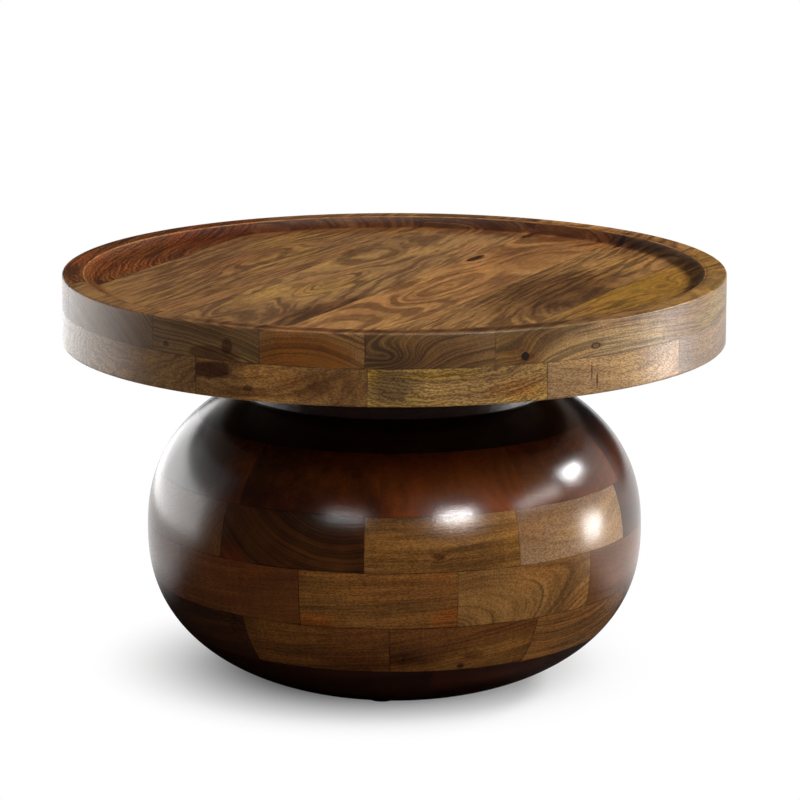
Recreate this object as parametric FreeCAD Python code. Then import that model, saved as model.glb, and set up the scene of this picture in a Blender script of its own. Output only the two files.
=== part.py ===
import FreeCAD, Part
import math
import os

from FreeCAD import Vector

# A round coffee table shaped like a drum: a thick tray top turned from glued planks over a ring
# of wedge blocks, a dark turned neck, and a squashed ball of a base laid up in courses of wedge
# blocks. Millimetres, +Z up, the front at -Y, the origin on the floor under the table's middle.

# Tray top: planks glued edge to edge, then turned with a flat rim, a cove and a tray floor
TOP_RADIUS = 355.5
PLANK_THICKNESS = 36.0
PLANK_WIDTH_SHARES = (0.125, 0.22, 0.1825, 0.15, 0.1575, 0.165)  # of the top's diameter
PLANK_LEAN_DEG = 64.5  # from +X to the way the planks run
TRAY_DEPTH = 10.0
RIM_WIDTH = 23.0
COVE_RUN = 19.0
RIM_EASE = 1.5  # a narrow bevel on the outer edges

# Loose tongues in the edges of the planks
TONGUE_THICKNESS = 6.0
TONGUE_WIDTH = 20.0
TONGUE_SETBACK = 45.0  # from the outer edge of the top to the end of a tongue

# Ring of blocks under the planks, which makes the edge of the top look twice as thick
RIM_BLOCK_COUNT = 12
RIM_BLOCK_HEIGHT = 39.0
RIM_BLOCK_WIDTH = 90.0
RIM_JOINT_DEG = -4.3  # from the front to one of the ring's joints
RIM_DOWEL_RADIUS = 4.0
RIM_DOWEL_LENGTH = 40.0
RIM_DOWEL_SPACING = 44.0
RIM_DOWELS_PER_JOINT = 2

# Base: courses of blocks turned to a squashed ball, from the floor upwards
BLOCKS_PER_COURSE = 10
COURSE_HEIGHTS = (64.0, 54.0, 60.0, 57.0, 57.0, 26.0)
COURSE_JOINT_DEGS = (-26.0, -1.1, -21.7, -6.7, -3.2, 15.0)  # from the front to a joint
BELLY_RADIUS = 267.0
BELLY_HEIGHT_SHARE = 0.525  # of the height of all courses
FOOT_RADIUS = 115.0
BELLY_FULLNESS = 2.32  # 2 is an ellipse, more is fuller
BASE_WALL = 50.0
PROFILE_POINTS = 9

# Dowels that line up each course with the next
COURSE_DOWEL_RADIUS = 5.0
COURSE_DOWEL_LENGTH = 32.0

# Neck between the base and the top
NECK_RADIUS = 169.0
NECK_HEIGHT = 75.0
NECK_WALL = 36.0

# Mounting board between the neck and the planks
BOARD_THICKNESS = 18.0
BOARD_SCREW_COUNT = 8
BOARD_SCREW_RADIUS = 2.5
BOARD_SCREW_LENGTH = 50.0
BOARD_SCREW_HEAD_RADIUS = 5.0

# Bolts through the board into threaded inserts in the two middle planks
BOLT_RADIUS = 4.0
BOLT_ENGAGEMENT = 14.0  # of the bolt in its insert
SPANNER_RADIUS = 10.0
BOLTS_PER_PLANK = 3
BOLT_HOLE_SLACK = 1.2  # room round a bolt, so that the planks can move with the seasons
INSERT_RADIUS = 6.0
INSERT_LENGTH = 17.0
WASHER_RADIUS = 8.5
WASHER_THICKNESS = 1.6
HEX_HEAD_RADIUS = 7.0
HEX_HEAD_HEIGHT = 5.3

# Screws up through the top course into the neck
NECK_SCREW_BITE = 34.0
NECK_SCREW_RADIUS = 4.0

# Cover under the hollow foot, and the felt pads that the table stands on
COVER_THICKNESS = 12.0
COVER_LAP = 15.0  # of the cover on the foot course, all round
COVER_SCREW_RADIUS = 2.0
COVER_SCREW_BITE = 22.0
COVER_SCREW_HEAD_RADIUS = 4.0
PAD_RADIUS = 13.0
PAD_THICKNESS = 3.0
BLOCKS_PER_PAD = 2

# Fits
GLUE_GAP = 0.15
SCREW_GAP = 0.1
SEAT_GAP = 0.3
OVERRUN = 5.0

AXIS = Vector(0, 0, 1)
ORIGIN = Vector(0, 0, 0)

# Heights above the floor, worked out from the sizes above
base_bottom = PAD_THICKNESS
course_levels = [base_bottom]
for course_height in COURSE_HEIGHTS:
    course_levels.append(course_levels[-1] + course_height)
base_top = course_levels[-1]
belly_level = base_bottom + BELLY_HEIGHT_SHARE * (base_top - base_bottom)
neck_top = base_top + NECK_HEIGHT
plank_bottom = neck_top + BOARD_THICKNESS
table_top = plank_bottom + PLANK_THICKNESS
tray_floor = table_top - TRAY_DEPTH
rim_bottom = plank_bottom - RIM_BLOCK_HEIGHT
block_angle = 360.0 / BLOCKS_PER_COURSE
rim_block_angle = 360.0 / RIM_BLOCK_COUNT


def save(name, shape):
    """Write one sub-part and print what it is."""
    shape.exportStep("parts/%s.step" % name)
    report = (name, len(shape.Solids), shape.Volume, shape.isValid())
    print("%-22s solids %3d  volume %10.0f  valid %s" % report)


def group(solids):
    """Separate solids of one sub-part."""
    return Part.Compound(solids) if len(solids) > 1 else solids[0]


def bar(radius, bottom, height):
    """Upright round bar on the axis."""
    return Part.makeCylinder(radius, height, Vector(0, 0, bottom), AXIS)


def tube(outer, inner, bottom, height):
    """Upright tube on the axis."""
    return bar(outer, bottom, height).cut(bar(inner, bottom - OVERRUN, height + 2 * OVERRUN))


def placed(shape, radius, angle):
    """Copy of a shape, moved out by a radius along +X and then turned about the axis."""
    copy = shape.copy()
    copy.translate(Vector(radius, 0, 0))
    copy.rotate(ORIGIN, AXIS, angle)
    return copy


def from_front(degrees):
    """Angle from +X of a direction given in degrees from the front, positive towards +X."""
    return degrees - 90.0


def around(shape, radius, first, count):
    """Copies of a shape, evenly spaced round the axis."""
    return [placed(shape, radius, first + step * 360.0 / count) for step in range(count)]


def countersunk_screw(radius, head_radius, length, head_level):
    """Screw that points down from its flush conical head."""
    cone_height = head_radius - radius
    head = Part.makeCone(radius, head_radius, cone_height, Vector(0, 0, head_level - cone_height), AXIS)
    return head.fuse(bar(radius, head_level - length, length - cone_height)).removeSplitter()


def hex_bolt(radius, shank_bottom, shank_length):
    """Bolt that points up, with its six-sided head under the shank."""
    corners = [
        Vector(HEX_HEAD_RADIUS * math.cos(math.radians(60 * side)),
               HEX_HEAD_RADIUS * math.sin(math.radians(60 * side)),
               shank_bottom - HEX_HEAD_HEIGHT)
        for side in range(7)
    ]
    head = Part.Face(Part.makePolygon(corners)).extrude(Vector(0, 0, HEX_HEAD_HEIGHT))
    return head.fuse(bar(radius, shank_bottom, shank_length)).removeSplitter()


def base_radius(level):
    """Outer radius of the base at a height: two halves of a superellipse that meet at the belly."""
    if level < belly_level:
        end_radius, end_distance = FOOT_RADIUS, belly_level - base_bottom
    else:
        end_radius, end_distance = NECK_RADIUS, base_top - belly_level
    end_share = (1 - (end_radius / BELLY_RADIUS) ** BELLY_FULLNESS) ** (1 / BELLY_FULLNESS)
    distance_share = abs(level - belly_level) / end_distance * end_share
    return BELLY_RADIUS * (1 - distance_share ** BELLY_FULLNESS) ** (1 / BELLY_FULLNESS)


def bore_radius(course):
    """Radius of the straight hollow in a course."""
    low, high = course_levels[course], course_levels[course + 1]
    return min(base_radius(low), base_radius(high)) - BASE_WALL


def tray_blank():
    """The whole turned top as one solid: flat rim, concave cove and tray floor."""
    cove_radius = (COVE_RUN ** 2 + TRAY_DEPTH ** 2) / (2 * TRAY_DEPTH)
    half_turn = math.asin(COVE_RUN / cove_radius) / 2
    floor_radius = TOP_RADIUS - RIM_WIDTH - COVE_RUN
    foot = Vector(TOP_RADIUS, 0, plank_bottom)
    ease_low = Vector(TOP_RADIUS, 0, table_top - RIM_EASE)
    ease_high = Vector(TOP_RADIUS - RIM_EASE, 0, table_top)
    rim_inside = Vector(TOP_RADIUS - RIM_WIDTH, 0, table_top)
    cove_middle = Vector(floor_radius + cove_radius * math.sin(half_turn), 0,
                         tray_floor + cove_radius * (1 - math.cos(half_turn)))
    cove_end = Vector(floor_radius, 0, tray_floor)
    floor_centre = Vector(0, 0, tray_floor)
    under_centre = Vector(0, 0, plank_bottom)
    edges = [
        Part.LineSegment(under_centre, foot),
        Part.LineSegment(foot, ease_low),
        Part.LineSegment(ease_low, ease_high),
        Part.LineSegment(ease_high, rim_inside),
        Part.Arc(rim_inside, cove_middle, cove_end),
        Part.LineSegment(cove_end, floor_centre),
        Part.LineSegment(floor_centre, under_centre),
    ]
    outline = Part.Wire([edge.toShape() for edge in edges])
    return Part.Face(outline).revolve(ORIGIN, AXIS, 360)


def plank_joints():
    """Places of the joints across the planks, from the left edge to the right edge."""
    places = [-TOP_RADIUS]
    for share in PLANK_WIDTH_SHARES:
        places.append(places[-1] + share * 2 * TOP_RADIUS)
    return places


def tongue(place, gap):
    """Loose tongue at a plank joint, or with a gap the groove for it; planks run along Y here."""
    reach = TOP_RADIUS - TONGUE_SETBACK
    half_length = math.sqrt(reach ** 2 - place ** 2) + gap
    half_width = TONGUE_WIDTH / 2 + gap
    thickness = TONGUE_THICKNESS + 2 * gap
    level = (plank_bottom + tray_floor - thickness) / 2
    return Part.makeBox(2 * half_width, 2 * half_length, thickness,
                        Vector(place - half_width, -half_length, level))


def bolt_places():
    """Places of the bolts along the middles of the two planks nearest the axis, as far out as a
    spanner reaches up through the bore of the top course."""
    joints = plank_joints()
    middles = sorted(((low + high) / 2 for low, high in zip(joints, joints[1:])), key=abs)[:2]
    circle = bore_radius(len(COURSE_HEIGHTS) - 1) - SPANNER_RADIUS
    places = []
    for middle in middles:
        reach = math.sqrt(circle ** 2 - middle ** 2)
        for index in range(BOLTS_PER_PLANK):
            places.append(Vector(middle, reach * (2 * index / (BOLTS_PER_PLANK - 1) - 1), 0))
    return places


def leaned(shape):
    """Turn a shape from planks along Y to the way that they lie on the table."""
    turned = shape.copy()
    turned.rotate(ORIGIN, AXIS, PLANK_LEAN_DEG - 90.0)
    return turned


def at_bolts(shape):
    """Copies of a shape on the axis, one at each bolt."""
    copies = []
    for place in bolt_places():
        copy = shape.copy()
        copy.translate(place)
        copies.append(leaned(copy))
    return copies


def build_planks():
    """The tray top, cut into its planks, with grooves for tongues and holes for inserts."""
    joints = plank_joints()
    blank = tray_blank()
    hole_depth = INSERT_LENGTH + SEAT_GAP
    insert_hole = bar(INSERT_RADIUS + GLUE_GAP, plank_bottom - OVERRUN, OVERRUN + hole_depth)
    cutters = [tongue(place, GLUE_GAP) for place in joints[1:-1]]
    for place in bolt_places():
        hole = insert_hole.copy()
        hole.translate(place)
        cutters.append(hole)
    blank = blank.cut(cutters)
    joints[0] -= OVERRUN
    joints[-1] += OVERRUN
    for index, (low, high) in enumerate(zip(joints, joints[1:])):
        strip = Part.makeBox(high - low, 2 * (TOP_RADIUS + OVERRUN), PLANK_THICKNESS + 2 * OVERRUN,
                             Vector(low, -TOP_RADIUS - OVERRUN, plank_bottom - OVERRUN))
        save("top_plank_%d" % (index + 1), leaned(blank.common(strip)).Solids[0])
    save("plank_tongues", group([leaned(tongue(place, 0)) for place in joints[1:-1]]))


def rim_dowel(radius, length, offset):
    """Dowel across a joint of the rim ring at +X, at an offset from the ring's middle radius."""
    middle = TOP_RADIUS - RIM_BLOCK_WIDTH / 2 + offset
    level = (rim_bottom + plank_bottom) / 2
    return Part.makeCylinder(radius, length, Vector(middle, -length / 2, level), Vector(0, 1, 0))


def rim_dowel_offsets():
    """Where the dowels of one joint lie, from the ring's middle radius."""
    last = RIM_DOWELS_PER_JOINT - 1
    return [(index - last / 2) * RIM_DOWEL_SPACING for index in range(RIM_DOWELS_PER_JOINT)]


def build_rim_ring():
    """Ring of wedge blocks under the planks, and the dowels across its joints."""
    inner = TOP_RADIUS - RIM_BLOCK_WIDTH
    inner_low = Vector(inner, 0, rim_bottom)
    ease_in = Vector(TOP_RADIUS - RIM_EASE, 0, rim_bottom)
    ease_out = Vector(TOP_RADIUS, 0, rim_bottom + RIM_EASE)
    outer_high = Vector(TOP_RADIUS, 0, plank_bottom)
    inner_high = Vector(inner, 0, plank_bottom)
    edges = [
        Part.LineSegment(inner_low, ease_in),
        Part.LineSegment(ease_in, ease_out),
        Part.LineSegment(ease_out, outer_high),
        Part.LineSegment(outer_high, inner_high),
        Part.LineSegment(inner_high, inner_low),
    ]
    section = Part.Face(Part.Wire([edge.toShape() for edge in edges]))
    block = section.revolve(ORIGIN, AXIS, rim_block_angle)
    for offset in rim_dowel_offsets():
        hole = rim_dowel(RIM_DOWEL_RADIUS + GLUE_GAP, RIM_DOWEL_LENGTH + 2 * SEAT_GAP, offset)
        block = block.cut([hole, placed(hole, 0, rim_block_angle)])
    first = from_front(RIM_JOINT_DEG)
    for index, solid in enumerate(around(block, 0, first, RIM_BLOCK_COUNT)):
        save("rim_block_%02d" % (index + 1), solid.Solids[0])
    dowels = []
    for offset in rim_dowel_offsets():
        dowel = rim_dowel(RIM_DOWEL_RADIUS, RIM_DOWEL_LENGTH, offset)
        dowels += around(dowel, 0, first, RIM_BLOCK_COUNT)
    save("rim_block_dowels", group(dowels))


def dowel_angle(lower):
    """Angle from the front of a dowel between a course and the next, clear of both their joints."""
    apart = (COURSE_JOINT_DEGS[lower + 1] - COURSE_JOINT_DEGS[lower]) % block_angle
    if apart < block_angle / 2:
        apart += block_angle
    return COURSE_JOINT_DEGS[lower] + apart / 2


def dowel_radius_at(lower):
    """Distance from the axis of the dowels between a course and the next."""
    joint = course_levels[lower + 1]
    reach = COURSE_DOWEL_LENGTH / 2
    inside = max(bore_radius(lower), bore_radius(lower + 1))
    outside = min(base_radius(joint - reach), base_radius(min(joint + reach, base_top)))
    return (inside + outside) / 2


def course_dowel(lower, gap):
    """Dowel on the axis between a course and the next, or with a gap the hole for it."""
    bottom = course_levels[lower + 1] - COURSE_DOWEL_LENGTH / 2 - 2 * gap
    return bar(COURSE_DOWEL_RADIUS + gap, bottom, COURSE_DOWEL_LENGTH + 4 * gap)


def course_block(course):
    """One wedge block of a course, with its first joint face at +X."""
    low, high = course_levels[course], course_levels[course + 1]
    levels = [low + (high - low) * step / (PROFILE_POINTS - 1) for step in range(PROFILE_POINTS)]
    outside = [Vector(base_radius(level), 0, level) for level in levels]
    curve = Part.BSplineCurve()
    curve.interpolate(outside)
    inner_low = Vector(bore_radius(course), 0, low)
    inner_high = Vector(bore_radius(course), 0, high)
    edges = [
        curve,
        Part.LineSegment(outside[-1], inner_high),
        Part.LineSegment(inner_high, inner_low),
        Part.LineSegment(inner_low, outside[0]),
    ]
    section = Part.Face(Part.Wire([edge.toShape() for edge in edges]))
    return section.revolve(ORIGIN, AXIS, block_angle)


def course_cutters(course):
    """Holes of one block, placed against its first joint face at +X."""
    first = COURSE_JOINT_DEGS[course]
    cutters = []
    for lower in (course - 1, course):
        if 0 <= lower < len(COURSE_HEIGHTS) - 1:
            angle = (dowel_angle(lower) - first) % block_angle
            cutters.append(placed(course_dowel(lower, GLUE_GAP), dowel_radius_at(lower), angle))
    if course == 0:
        recess_radius = bore_radius(0) + COVER_LAP + SEAT_GAP
        cutters.append(bar(recess_radius, base_bottom - OVERRUN, OVERRUN + COVER_THICKNESS))
    if course == len(COURSE_HEIGHTS) - 1:
        height = COURSE_HEIGHTS[course] + 2 * OVERRUN
        hole = bar(NECK_SCREW_RADIUS + SCREW_GAP, course_levels[course] - OVERRUN, height)
        cutters.append(placed(hole, neck_screw_place(), block_angle / 2))
    return cutters


def neck_screw_place():
    """Distance from the axis of the neck's screws: their washers just clear the wall below."""
    return bore_radius(len(COURSE_HEIGHTS) - 2) - WASHER_RADIUS - SEAT_GAP


def cover_screw_place():
    """Distance from the axis of the cover's screws."""
    return bore_radius(0) + COVER_LAP / 2


def build_base():
    """The courses of blocks and the dowels between them."""
    for course in range(len(COURSE_HEIGHTS)):
        block = course_block(course).cut(course_cutters(course))
        first = from_front(COURSE_JOINT_DEGS[course])
        blocks = around(block, 0, first, BLOCKS_PER_COURSE)
        if course == 0:
            pilot = countersunk_pilot()
            for index in range(0, BLOCKS_PER_COURSE, BLOCKS_PER_PAD):
                hole = placed(pilot, cover_screw_place(), first + (index + 0.5) * block_angle)
                blocks[index] = blocks[index].cut(hole)
        save("base_course_%d" % (course + 1), group([solid for shape in blocks for solid in shape.Solids]))
    dowels = []
    for lower in range(len(COURSE_HEIGHTS) - 1):
        first = from_front(dowel_angle(lower))
        dowels += around(course_dowel(lower, 0), dowel_radius_at(lower), first, BLOCKS_PER_COURSE)
    save("course_dowels", group(dowels))


def countersunk_pilot():
    """Hole in the foot course for a screw of the cover."""
    bottom = base_bottom + COVER_THICKNESS - OVERRUN
    return bar(COVER_SCREW_RADIUS + SCREW_GAP, bottom, OVERRUN + COVER_SCREW_BITE + SEAT_GAP)


def build_foot():
    """Cover under the hollow base, its screws, and the felt pads."""
    first = from_front(COURSE_JOINT_DEGS[0]) + block_angle / 2
    count = BLOCKS_PER_COURSE // BLOCKS_PER_PAD
    length = COVER_THICKNESS + COVER_SCREW_BITE
    screw = countersunk_screw(COVER_SCREW_RADIUS, COVER_SCREW_HEAD_RADIUS, length, base_bottom)
    screw.rotate(Vector(0, 0, base_bottom), Vector(1, 0, 0), 180)
    screws = around(screw, cover_screw_place(), first, count)
    sink = COVER_SCREW_HEAD_RADIUS - COVER_SCREW_RADIUS
    hole = bar(COVER_SCREW_RADIUS + SCREW_GAP, base_bottom - OVERRUN, COVER_THICKNESS + 2 * OVERRUN)
    cone = Part.makeCone(COVER_SCREW_HEAD_RADIUS + SCREW_GAP, COVER_SCREW_RADIUS + SCREW_GAP, sink,
                         Vector(0, 0, base_bottom), AXIS)
    holes = around(hole.fuse(cone), cover_screw_place(), first, count)
    cover = bar(bore_radius(0) + COVER_LAP, base_bottom, COVER_THICKNESS).cut(holes)
    save("base_cover", cover.Solids[0])
    save("cover_screws", group([solid for shape in screws for solid in shape.Solids]))
    pad_place = (bore_radius(0) + COVER_LAP + FOOT_RADIUS) / 2
    pads = around(bar(PAD_RADIUS, base_bottom - PAD_THICKNESS, PAD_THICKNESS), pad_place, first, count)
    save("foot_pads", group(pads))


def build_neck():
    """Turned collar between the base and the mounting board, and the screws that hold it down."""
    first = from_front(COURSE_JOINT_DEGS[-1]) + block_angle / 2
    course_bottom = course_levels[-2]
    collar = tube(NECK_RADIUS, NECK_RADIUS - NECK_WALL, base_top, NECK_HEIGHT)
    pilot = bar(NECK_SCREW_RADIUS + SCREW_GAP, base_top - OVERRUN, OVERRUN + NECK_SCREW_BITE + SEAT_GAP)
    pilot_bottom = plank_bottom - BOARD_SCREW_LENGTH - SEAT_GAP
    board_pilot = bar(BOARD_SCREW_RADIUS + SCREW_GAP, pilot_bottom, BOARD_SCREW_LENGTH)
    holes = around(pilot, neck_screw_place(), first, BLOCKS_PER_COURSE)
    holes += around(board_pilot, board_screw_place(), 0, BOARD_SCREW_COUNT)
    save("neck_collar", collar.cut(holes).Solids[0])
    shank_bottom = course_bottom - WASHER_THICKNESS
    length = WASHER_THICKNESS + COURSE_HEIGHTS[-1] + NECK_SCREW_BITE
    screw = hex_bolt(NECK_SCREW_RADIUS, shank_bottom, length)
    washer = tube(WASHER_RADIUS, NECK_SCREW_RADIUS + SCREW_GAP, shank_bottom, WASHER_THICKNESS)
    save("neck_screws", group(around(screw, neck_screw_place(), first, BLOCKS_PER_COURSE)))
    save("neck_screw_washers", group(around(washer, neck_screw_place(), first, BLOCKS_PER_COURSE)))


def board_screw_place():
    """Distance from the axis of the screws that hold the board to the neck."""
    return NECK_RADIUS - NECK_WALL / 2


def build_mounting():
    """Mounting board, its screws, and the bolts, washers and inserts that hold the top to it."""
    sink = BOARD_SCREW_HEAD_RADIUS - BOARD_SCREW_RADIUS
    screw = countersunk_screw(BOARD_SCREW_RADIUS, BOARD_SCREW_HEAD_RADIUS, BOARD_SCREW_LENGTH,
                              plank_bottom)
    hole = bar(BOARD_SCREW_RADIUS + SCREW_GAP, neck_top - OVERRUN, BOARD_THICKNESS + 2 * OVERRUN)
    cone = Part.makeCone(BOARD_SCREW_RADIUS + SCREW_GAP, BOARD_SCREW_HEAD_RADIUS + SCREW_GAP, sink,
                         Vector(0, 0, plank_bottom - sink), AXIS)
    bolt_hole = bar(BOLT_RADIUS + BOLT_HOLE_SLACK, neck_top - OVERRUN, BOARD_THICKNESS + 2 * OVERRUN)
    cutters = around(hole.fuse(cone), board_screw_place(), 0, BOARD_SCREW_COUNT) + at_bolts(bolt_hole)
    board = bar(NECK_RADIUS, neck_top, BOARD_THICKNESS).cut(cutters)
    save("mounting_board", board.Solids[0])
    save("board_screws", group(around(screw, board_screw_place(), 0, BOARD_SCREW_COUNT)))
    shank_bottom = neck_top - WASHER_THICKNESS
    bolt = hex_bolt(BOLT_RADIUS, shank_bottom, WASHER_THICKNESS + BOARD_THICKNESS + BOLT_ENGAGEMENT)
    washer = tube(WASHER_RADIUS, BOLT_RADIUS + SCREW_GAP, shank_bottom, WASHER_THICKNESS)
    insert = tube(INSERT_RADIUS, BOLT_RADIUS + SCREW_GAP, plank_bottom, INSERT_LENGTH)
    save("top_bolts", group(at_bolts(bolt)))
    save("top_bolt_washers", group(at_bolts(washer)))
    save("threaded_inserts", group(at_bolts(insert)))


def main():
    """Build and write every sub-part."""
    os.makedirs("parts", exist_ok=True)
    build_planks()
    build_rim_ring()
    build_base()
    build_foot()
    build_neck()
    build_mounting()


main()
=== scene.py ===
"""Looks of a round coffee table shaped like a drum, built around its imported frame.

Metres, +Z up, the front at -Y, the origin on the floor under the table's middle. Every plank and
block is a piece of its own. Each carries two attributes that its finish reads: "log" is the place
of a point in the log that the piece was sawn from, and "edge" is its distance from the nearest
glue joint.
"""

import logging
import math
from dataclasses import dataclass, replace
from enum import Enum
from typing import Any

import bmesh
import bpy
import numpy as np
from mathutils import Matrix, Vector


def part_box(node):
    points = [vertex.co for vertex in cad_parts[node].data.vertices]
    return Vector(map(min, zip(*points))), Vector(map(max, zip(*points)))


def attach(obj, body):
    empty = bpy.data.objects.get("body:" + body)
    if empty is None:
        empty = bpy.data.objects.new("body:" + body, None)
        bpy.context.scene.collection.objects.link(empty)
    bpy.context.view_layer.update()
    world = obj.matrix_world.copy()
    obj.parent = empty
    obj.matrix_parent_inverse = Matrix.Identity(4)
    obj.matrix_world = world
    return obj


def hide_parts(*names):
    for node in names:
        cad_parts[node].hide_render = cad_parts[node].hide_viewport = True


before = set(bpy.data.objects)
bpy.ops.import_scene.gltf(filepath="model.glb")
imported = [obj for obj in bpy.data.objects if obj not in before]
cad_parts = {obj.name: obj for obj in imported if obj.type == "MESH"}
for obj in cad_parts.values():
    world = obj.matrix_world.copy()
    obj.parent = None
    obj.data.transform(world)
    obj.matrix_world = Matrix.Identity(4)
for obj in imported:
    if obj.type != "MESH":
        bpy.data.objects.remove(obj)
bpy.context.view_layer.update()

Socket = bpy.types.NodeSocket
Feed = Any
Numbers = tuple[float, ...]
Colour = tuple[int, int, int]

GLUE_INSET = 0.00004  # half of the hairline between two glued pieces
CLOSE_ROWS = np.array((0.0, 0.0004, 0.0012, 0.003))  # rows of a surface beside a joint
SHARP_ANGLE = math.radians(28.0)  # faces that meet more steeply keep a hard edge between them
WELD = 1e-6  # points closer than this are one point
TOP_RADIUS = 0.3555  # of the planks and of the ring under them
LIP_ROWS = np.array((-0.0015, -0.0008, -0.0004, 0.0, 0.0004, 0.0008, 0.0015, 0.003))  # rows about the lip
TRAY_MARK_DEPTH = 0.02  # half of how far a mark of the tray reaches up and down
RIM_MARK_DEPTH = 0.03  # half of how far a mark of the rim's face reaches in and out
BASE_MARK_DEPTH = 0.08  # the same for the base, whose outline curves away
LOG_STEP = 1.7  # metres along the log from the pattern of one block to that of the next
WHITE = (1.0, 1.0, 1.0, 1.0)
PLANK_LEAN = math.radians(64.5)  # from +X to the way the planks run
ACROSS = np.array((math.sin(PLANK_LEAN), -math.cos(PLANK_LEAN), 0.0))
ALONG = np.array((math.cos(PLANK_LEAN), math.sin(PLANK_LEAN), 0.0))
UP = np.array((0.0, 0.0, 1.0))

log = logging.getLogger("drum_table")


def srgb(red: int, green: int, blue: int) -> Numbers:
    """Linear colour of an sRGB colour.

    Args:
        red, green, blue: the colour in bytes, 0 to 255.

    Returns:
        Red, green, blue and an alpha of 1, for a colour socket.
    """
    shares = np.array((red, green, blue)) / 255
    linear = np.where(shares <= 0.04045, shares / 12.92, ((shares + 0.055) / 1.055) ** 2.4)
    return (*linear.tolist(), 1.0)


def outwards(azimuth: float) -> np.ndarray:
    """Level direction at an azimuth in degrees from the front, positive towards +X."""
    turn = math.radians(azimuth)
    return np.array((math.sin(turn), -math.cos(turn), 0.0))


def on_tray(across: float, along: float) -> Numbers:
    """Point of the tray floor, from its places across and along the planks."""
    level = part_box("top_plank_3")[1].z - TrayTop.tray_depth
    return tuple(across * ACROSS + along * ALONG + level * UP)


def on_wall(azimuth: float, radius: float, level: float) -> Numbers:
    """Point at an azimuth in degrees from the front, a distance from the axis and a height."""
    return tuple(outwards(azimuth) * radius + level * UP)


def spaced(low: float, high: float, step: float) -> np.ndarray:
    """Even steps between two values, with close rows at both ends.

    Args:
        low, high: the first and the last value.
        step: the widest step.

    Returns:
        The rising values.
    """
    count = max(3, math.ceil((high - low) / step))
    middle = np.linspace(low + CLOSE_ROWS[-1], high - CLOSE_ROWS[-1], count)
    return np.concatenate((low + CLOSE_ROWS[:-1], middle, high - CLOSE_ROWS[:-1][::-1]))


@dataclass(frozen=True)
class LogFrame:
    """Where a piece lay in its log: a point on the pith, the way of the grain, and a shift.

    The shift is how far along the log the piece was cut, and sets its pattern apart.
    """

    pith: np.ndarray
    grain: np.ndarray
    side: np.ndarray
    shift: float

    def coordinates(self, points: np.ndarray) -> np.ndarray:
        """Places in the log, as products with three directions that are square to each other.

        Args:
            points: points in the table's frame, one in each row.

        Returns:
            Two places across the log, measured from the pith, and the place along it.
        """
        grain = self.grain / np.linalg.norm(self.grain)
        side = self.side - (self.side @ grain) * grain
        side = side / np.linalg.norm(side)
        axes = np.stack((side, np.cross(grain, side), grain), axis=1)
        return (points - self.pith) @ axes + np.array((0.0, 0.0, self.shift))


def loft(name: str, sections: np.ndarray, edge: np.ndarray, wood: LogFrame) -> bpy.types.Object:
    """Closed piece through a row of closed loops.

    Point k of loop j is joined to point k + 1 of the same loop and to the same two points of loop
    j + 1, and the first and the last loop are filled.

    Args:
        name: the piece's name.
        sections: the loops, as an array of loops, points and coordinates.
        edge: each point's distance from the nearest glue joint.
        wood: where the piece lay in its log.

    Returns:
        The new object, at the origin, with its place in its mesh.
    """
    loops, points = sections.shape[:2]
    corner = np.arange(loops * points).reshape(loops, points)
    after = np.roll(corner, -1, axis=1)
    quads = np.stack((corner[:-1], after[:-1], after[1:], corner[1:]), axis=-1).reshape(-1, 4)
    faces = [*quads.tolist(), corner[0][::-1].tolist(), corner[-1].tolist()]
    mesh = bpy.data.meshes.new(name)
    mesh.from_pydata(sections.reshape(-1, 3), [], faces)
    layer = mesh.attributes.new("edge", "FLOAT", "POINT")
    layer.data.foreach_set("value", edge.astype(np.float32).ravel())
    shell = bmesh.new()
    shell.from_mesh(mesh)
    bmesh.ops.remove_doubles(shell, verts=shell.verts, dist=WELD)
    bmesh.ops.dissolve_degenerate(shell, edges=shell.edges, dist=WELD / 10)
    bmesh.ops.recalc_face_normals(shell, faces=shell.faces)
    shell.to_mesh(mesh)
    shell.free()
    places = np.empty(len(mesh.vertices) * 3, np.float32)
    mesh.vertices.foreach_get("co", places)
    coordinates = wood.coordinates(places.reshape(-1, 3))
    layer = mesh.attributes.new("log", "FLOAT_VECTOR", "POINT")
    layer.data.foreach_set("vector", coordinates.astype(np.float32).ravel())
    mesh.shade_smooth()
    mesh.set_sharp_from_angle(angle=SHARP_ANGLE)
    piece = bpy.data.objects.new(name, mesh)
    bpy.context.scene.collection.objects.link(piece)
    return piece


def turned(profile: np.ndarray, angles: np.ndarray) -> np.ndarray:
    """Loops of a profile of radii and heights, carried round the axis through the angles.

    Args:
        profile: radius and height of each point of the closed profile.
        angles: angles from +X, in radians.

    Returns:
        One loop for each angle, as an array of loops, points and coordinates.
    """
    radius, level = profile[:, 0], profile[:, 1]
    x = np.cos(angles)[:, None] * radius
    y = np.sin(angles)[:, None] * radius
    return np.stack((x, y, np.broadcast_to(level, x.shape)), axis=-1)


def fit(piece: bpy.types.Object, node: str, material: bpy.types.Material) -> None:
    """Dress a new piece and put it in the place of its node.

    Args:
        piece: the new piece.
        node: the node of the frame that it stands for.
        material: the finish.
    """
    piece.data.materials.append(material)
    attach(piece, "root")
    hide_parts(node)


@dataclass(frozen=True)
class Patch:
    """A stain, streak or knot: an ellipsoid of wood whose colour is multiplied by a tint.

    The radii are along its lean, across it and upwards. The bulge pushes the growth rings aside.
    """

    centre: Numbers
    radii: Numbers
    tint: Numbers
    lean: float = PLANK_LEAN
    soft: float = 0.35
    ragged: float = 0.6
    bulge: float = 0.0


def tray_mark(
    across: float, along: float, length: float, width: float, tint: Numbers, **shape: float
) -> Patch:
    """Patch of the tray, half its length and width given along and across the planks."""
    return Patch(on_tray(across, along), (length, width, TRAY_MARK_DEPTH), tint, **shape)


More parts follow.
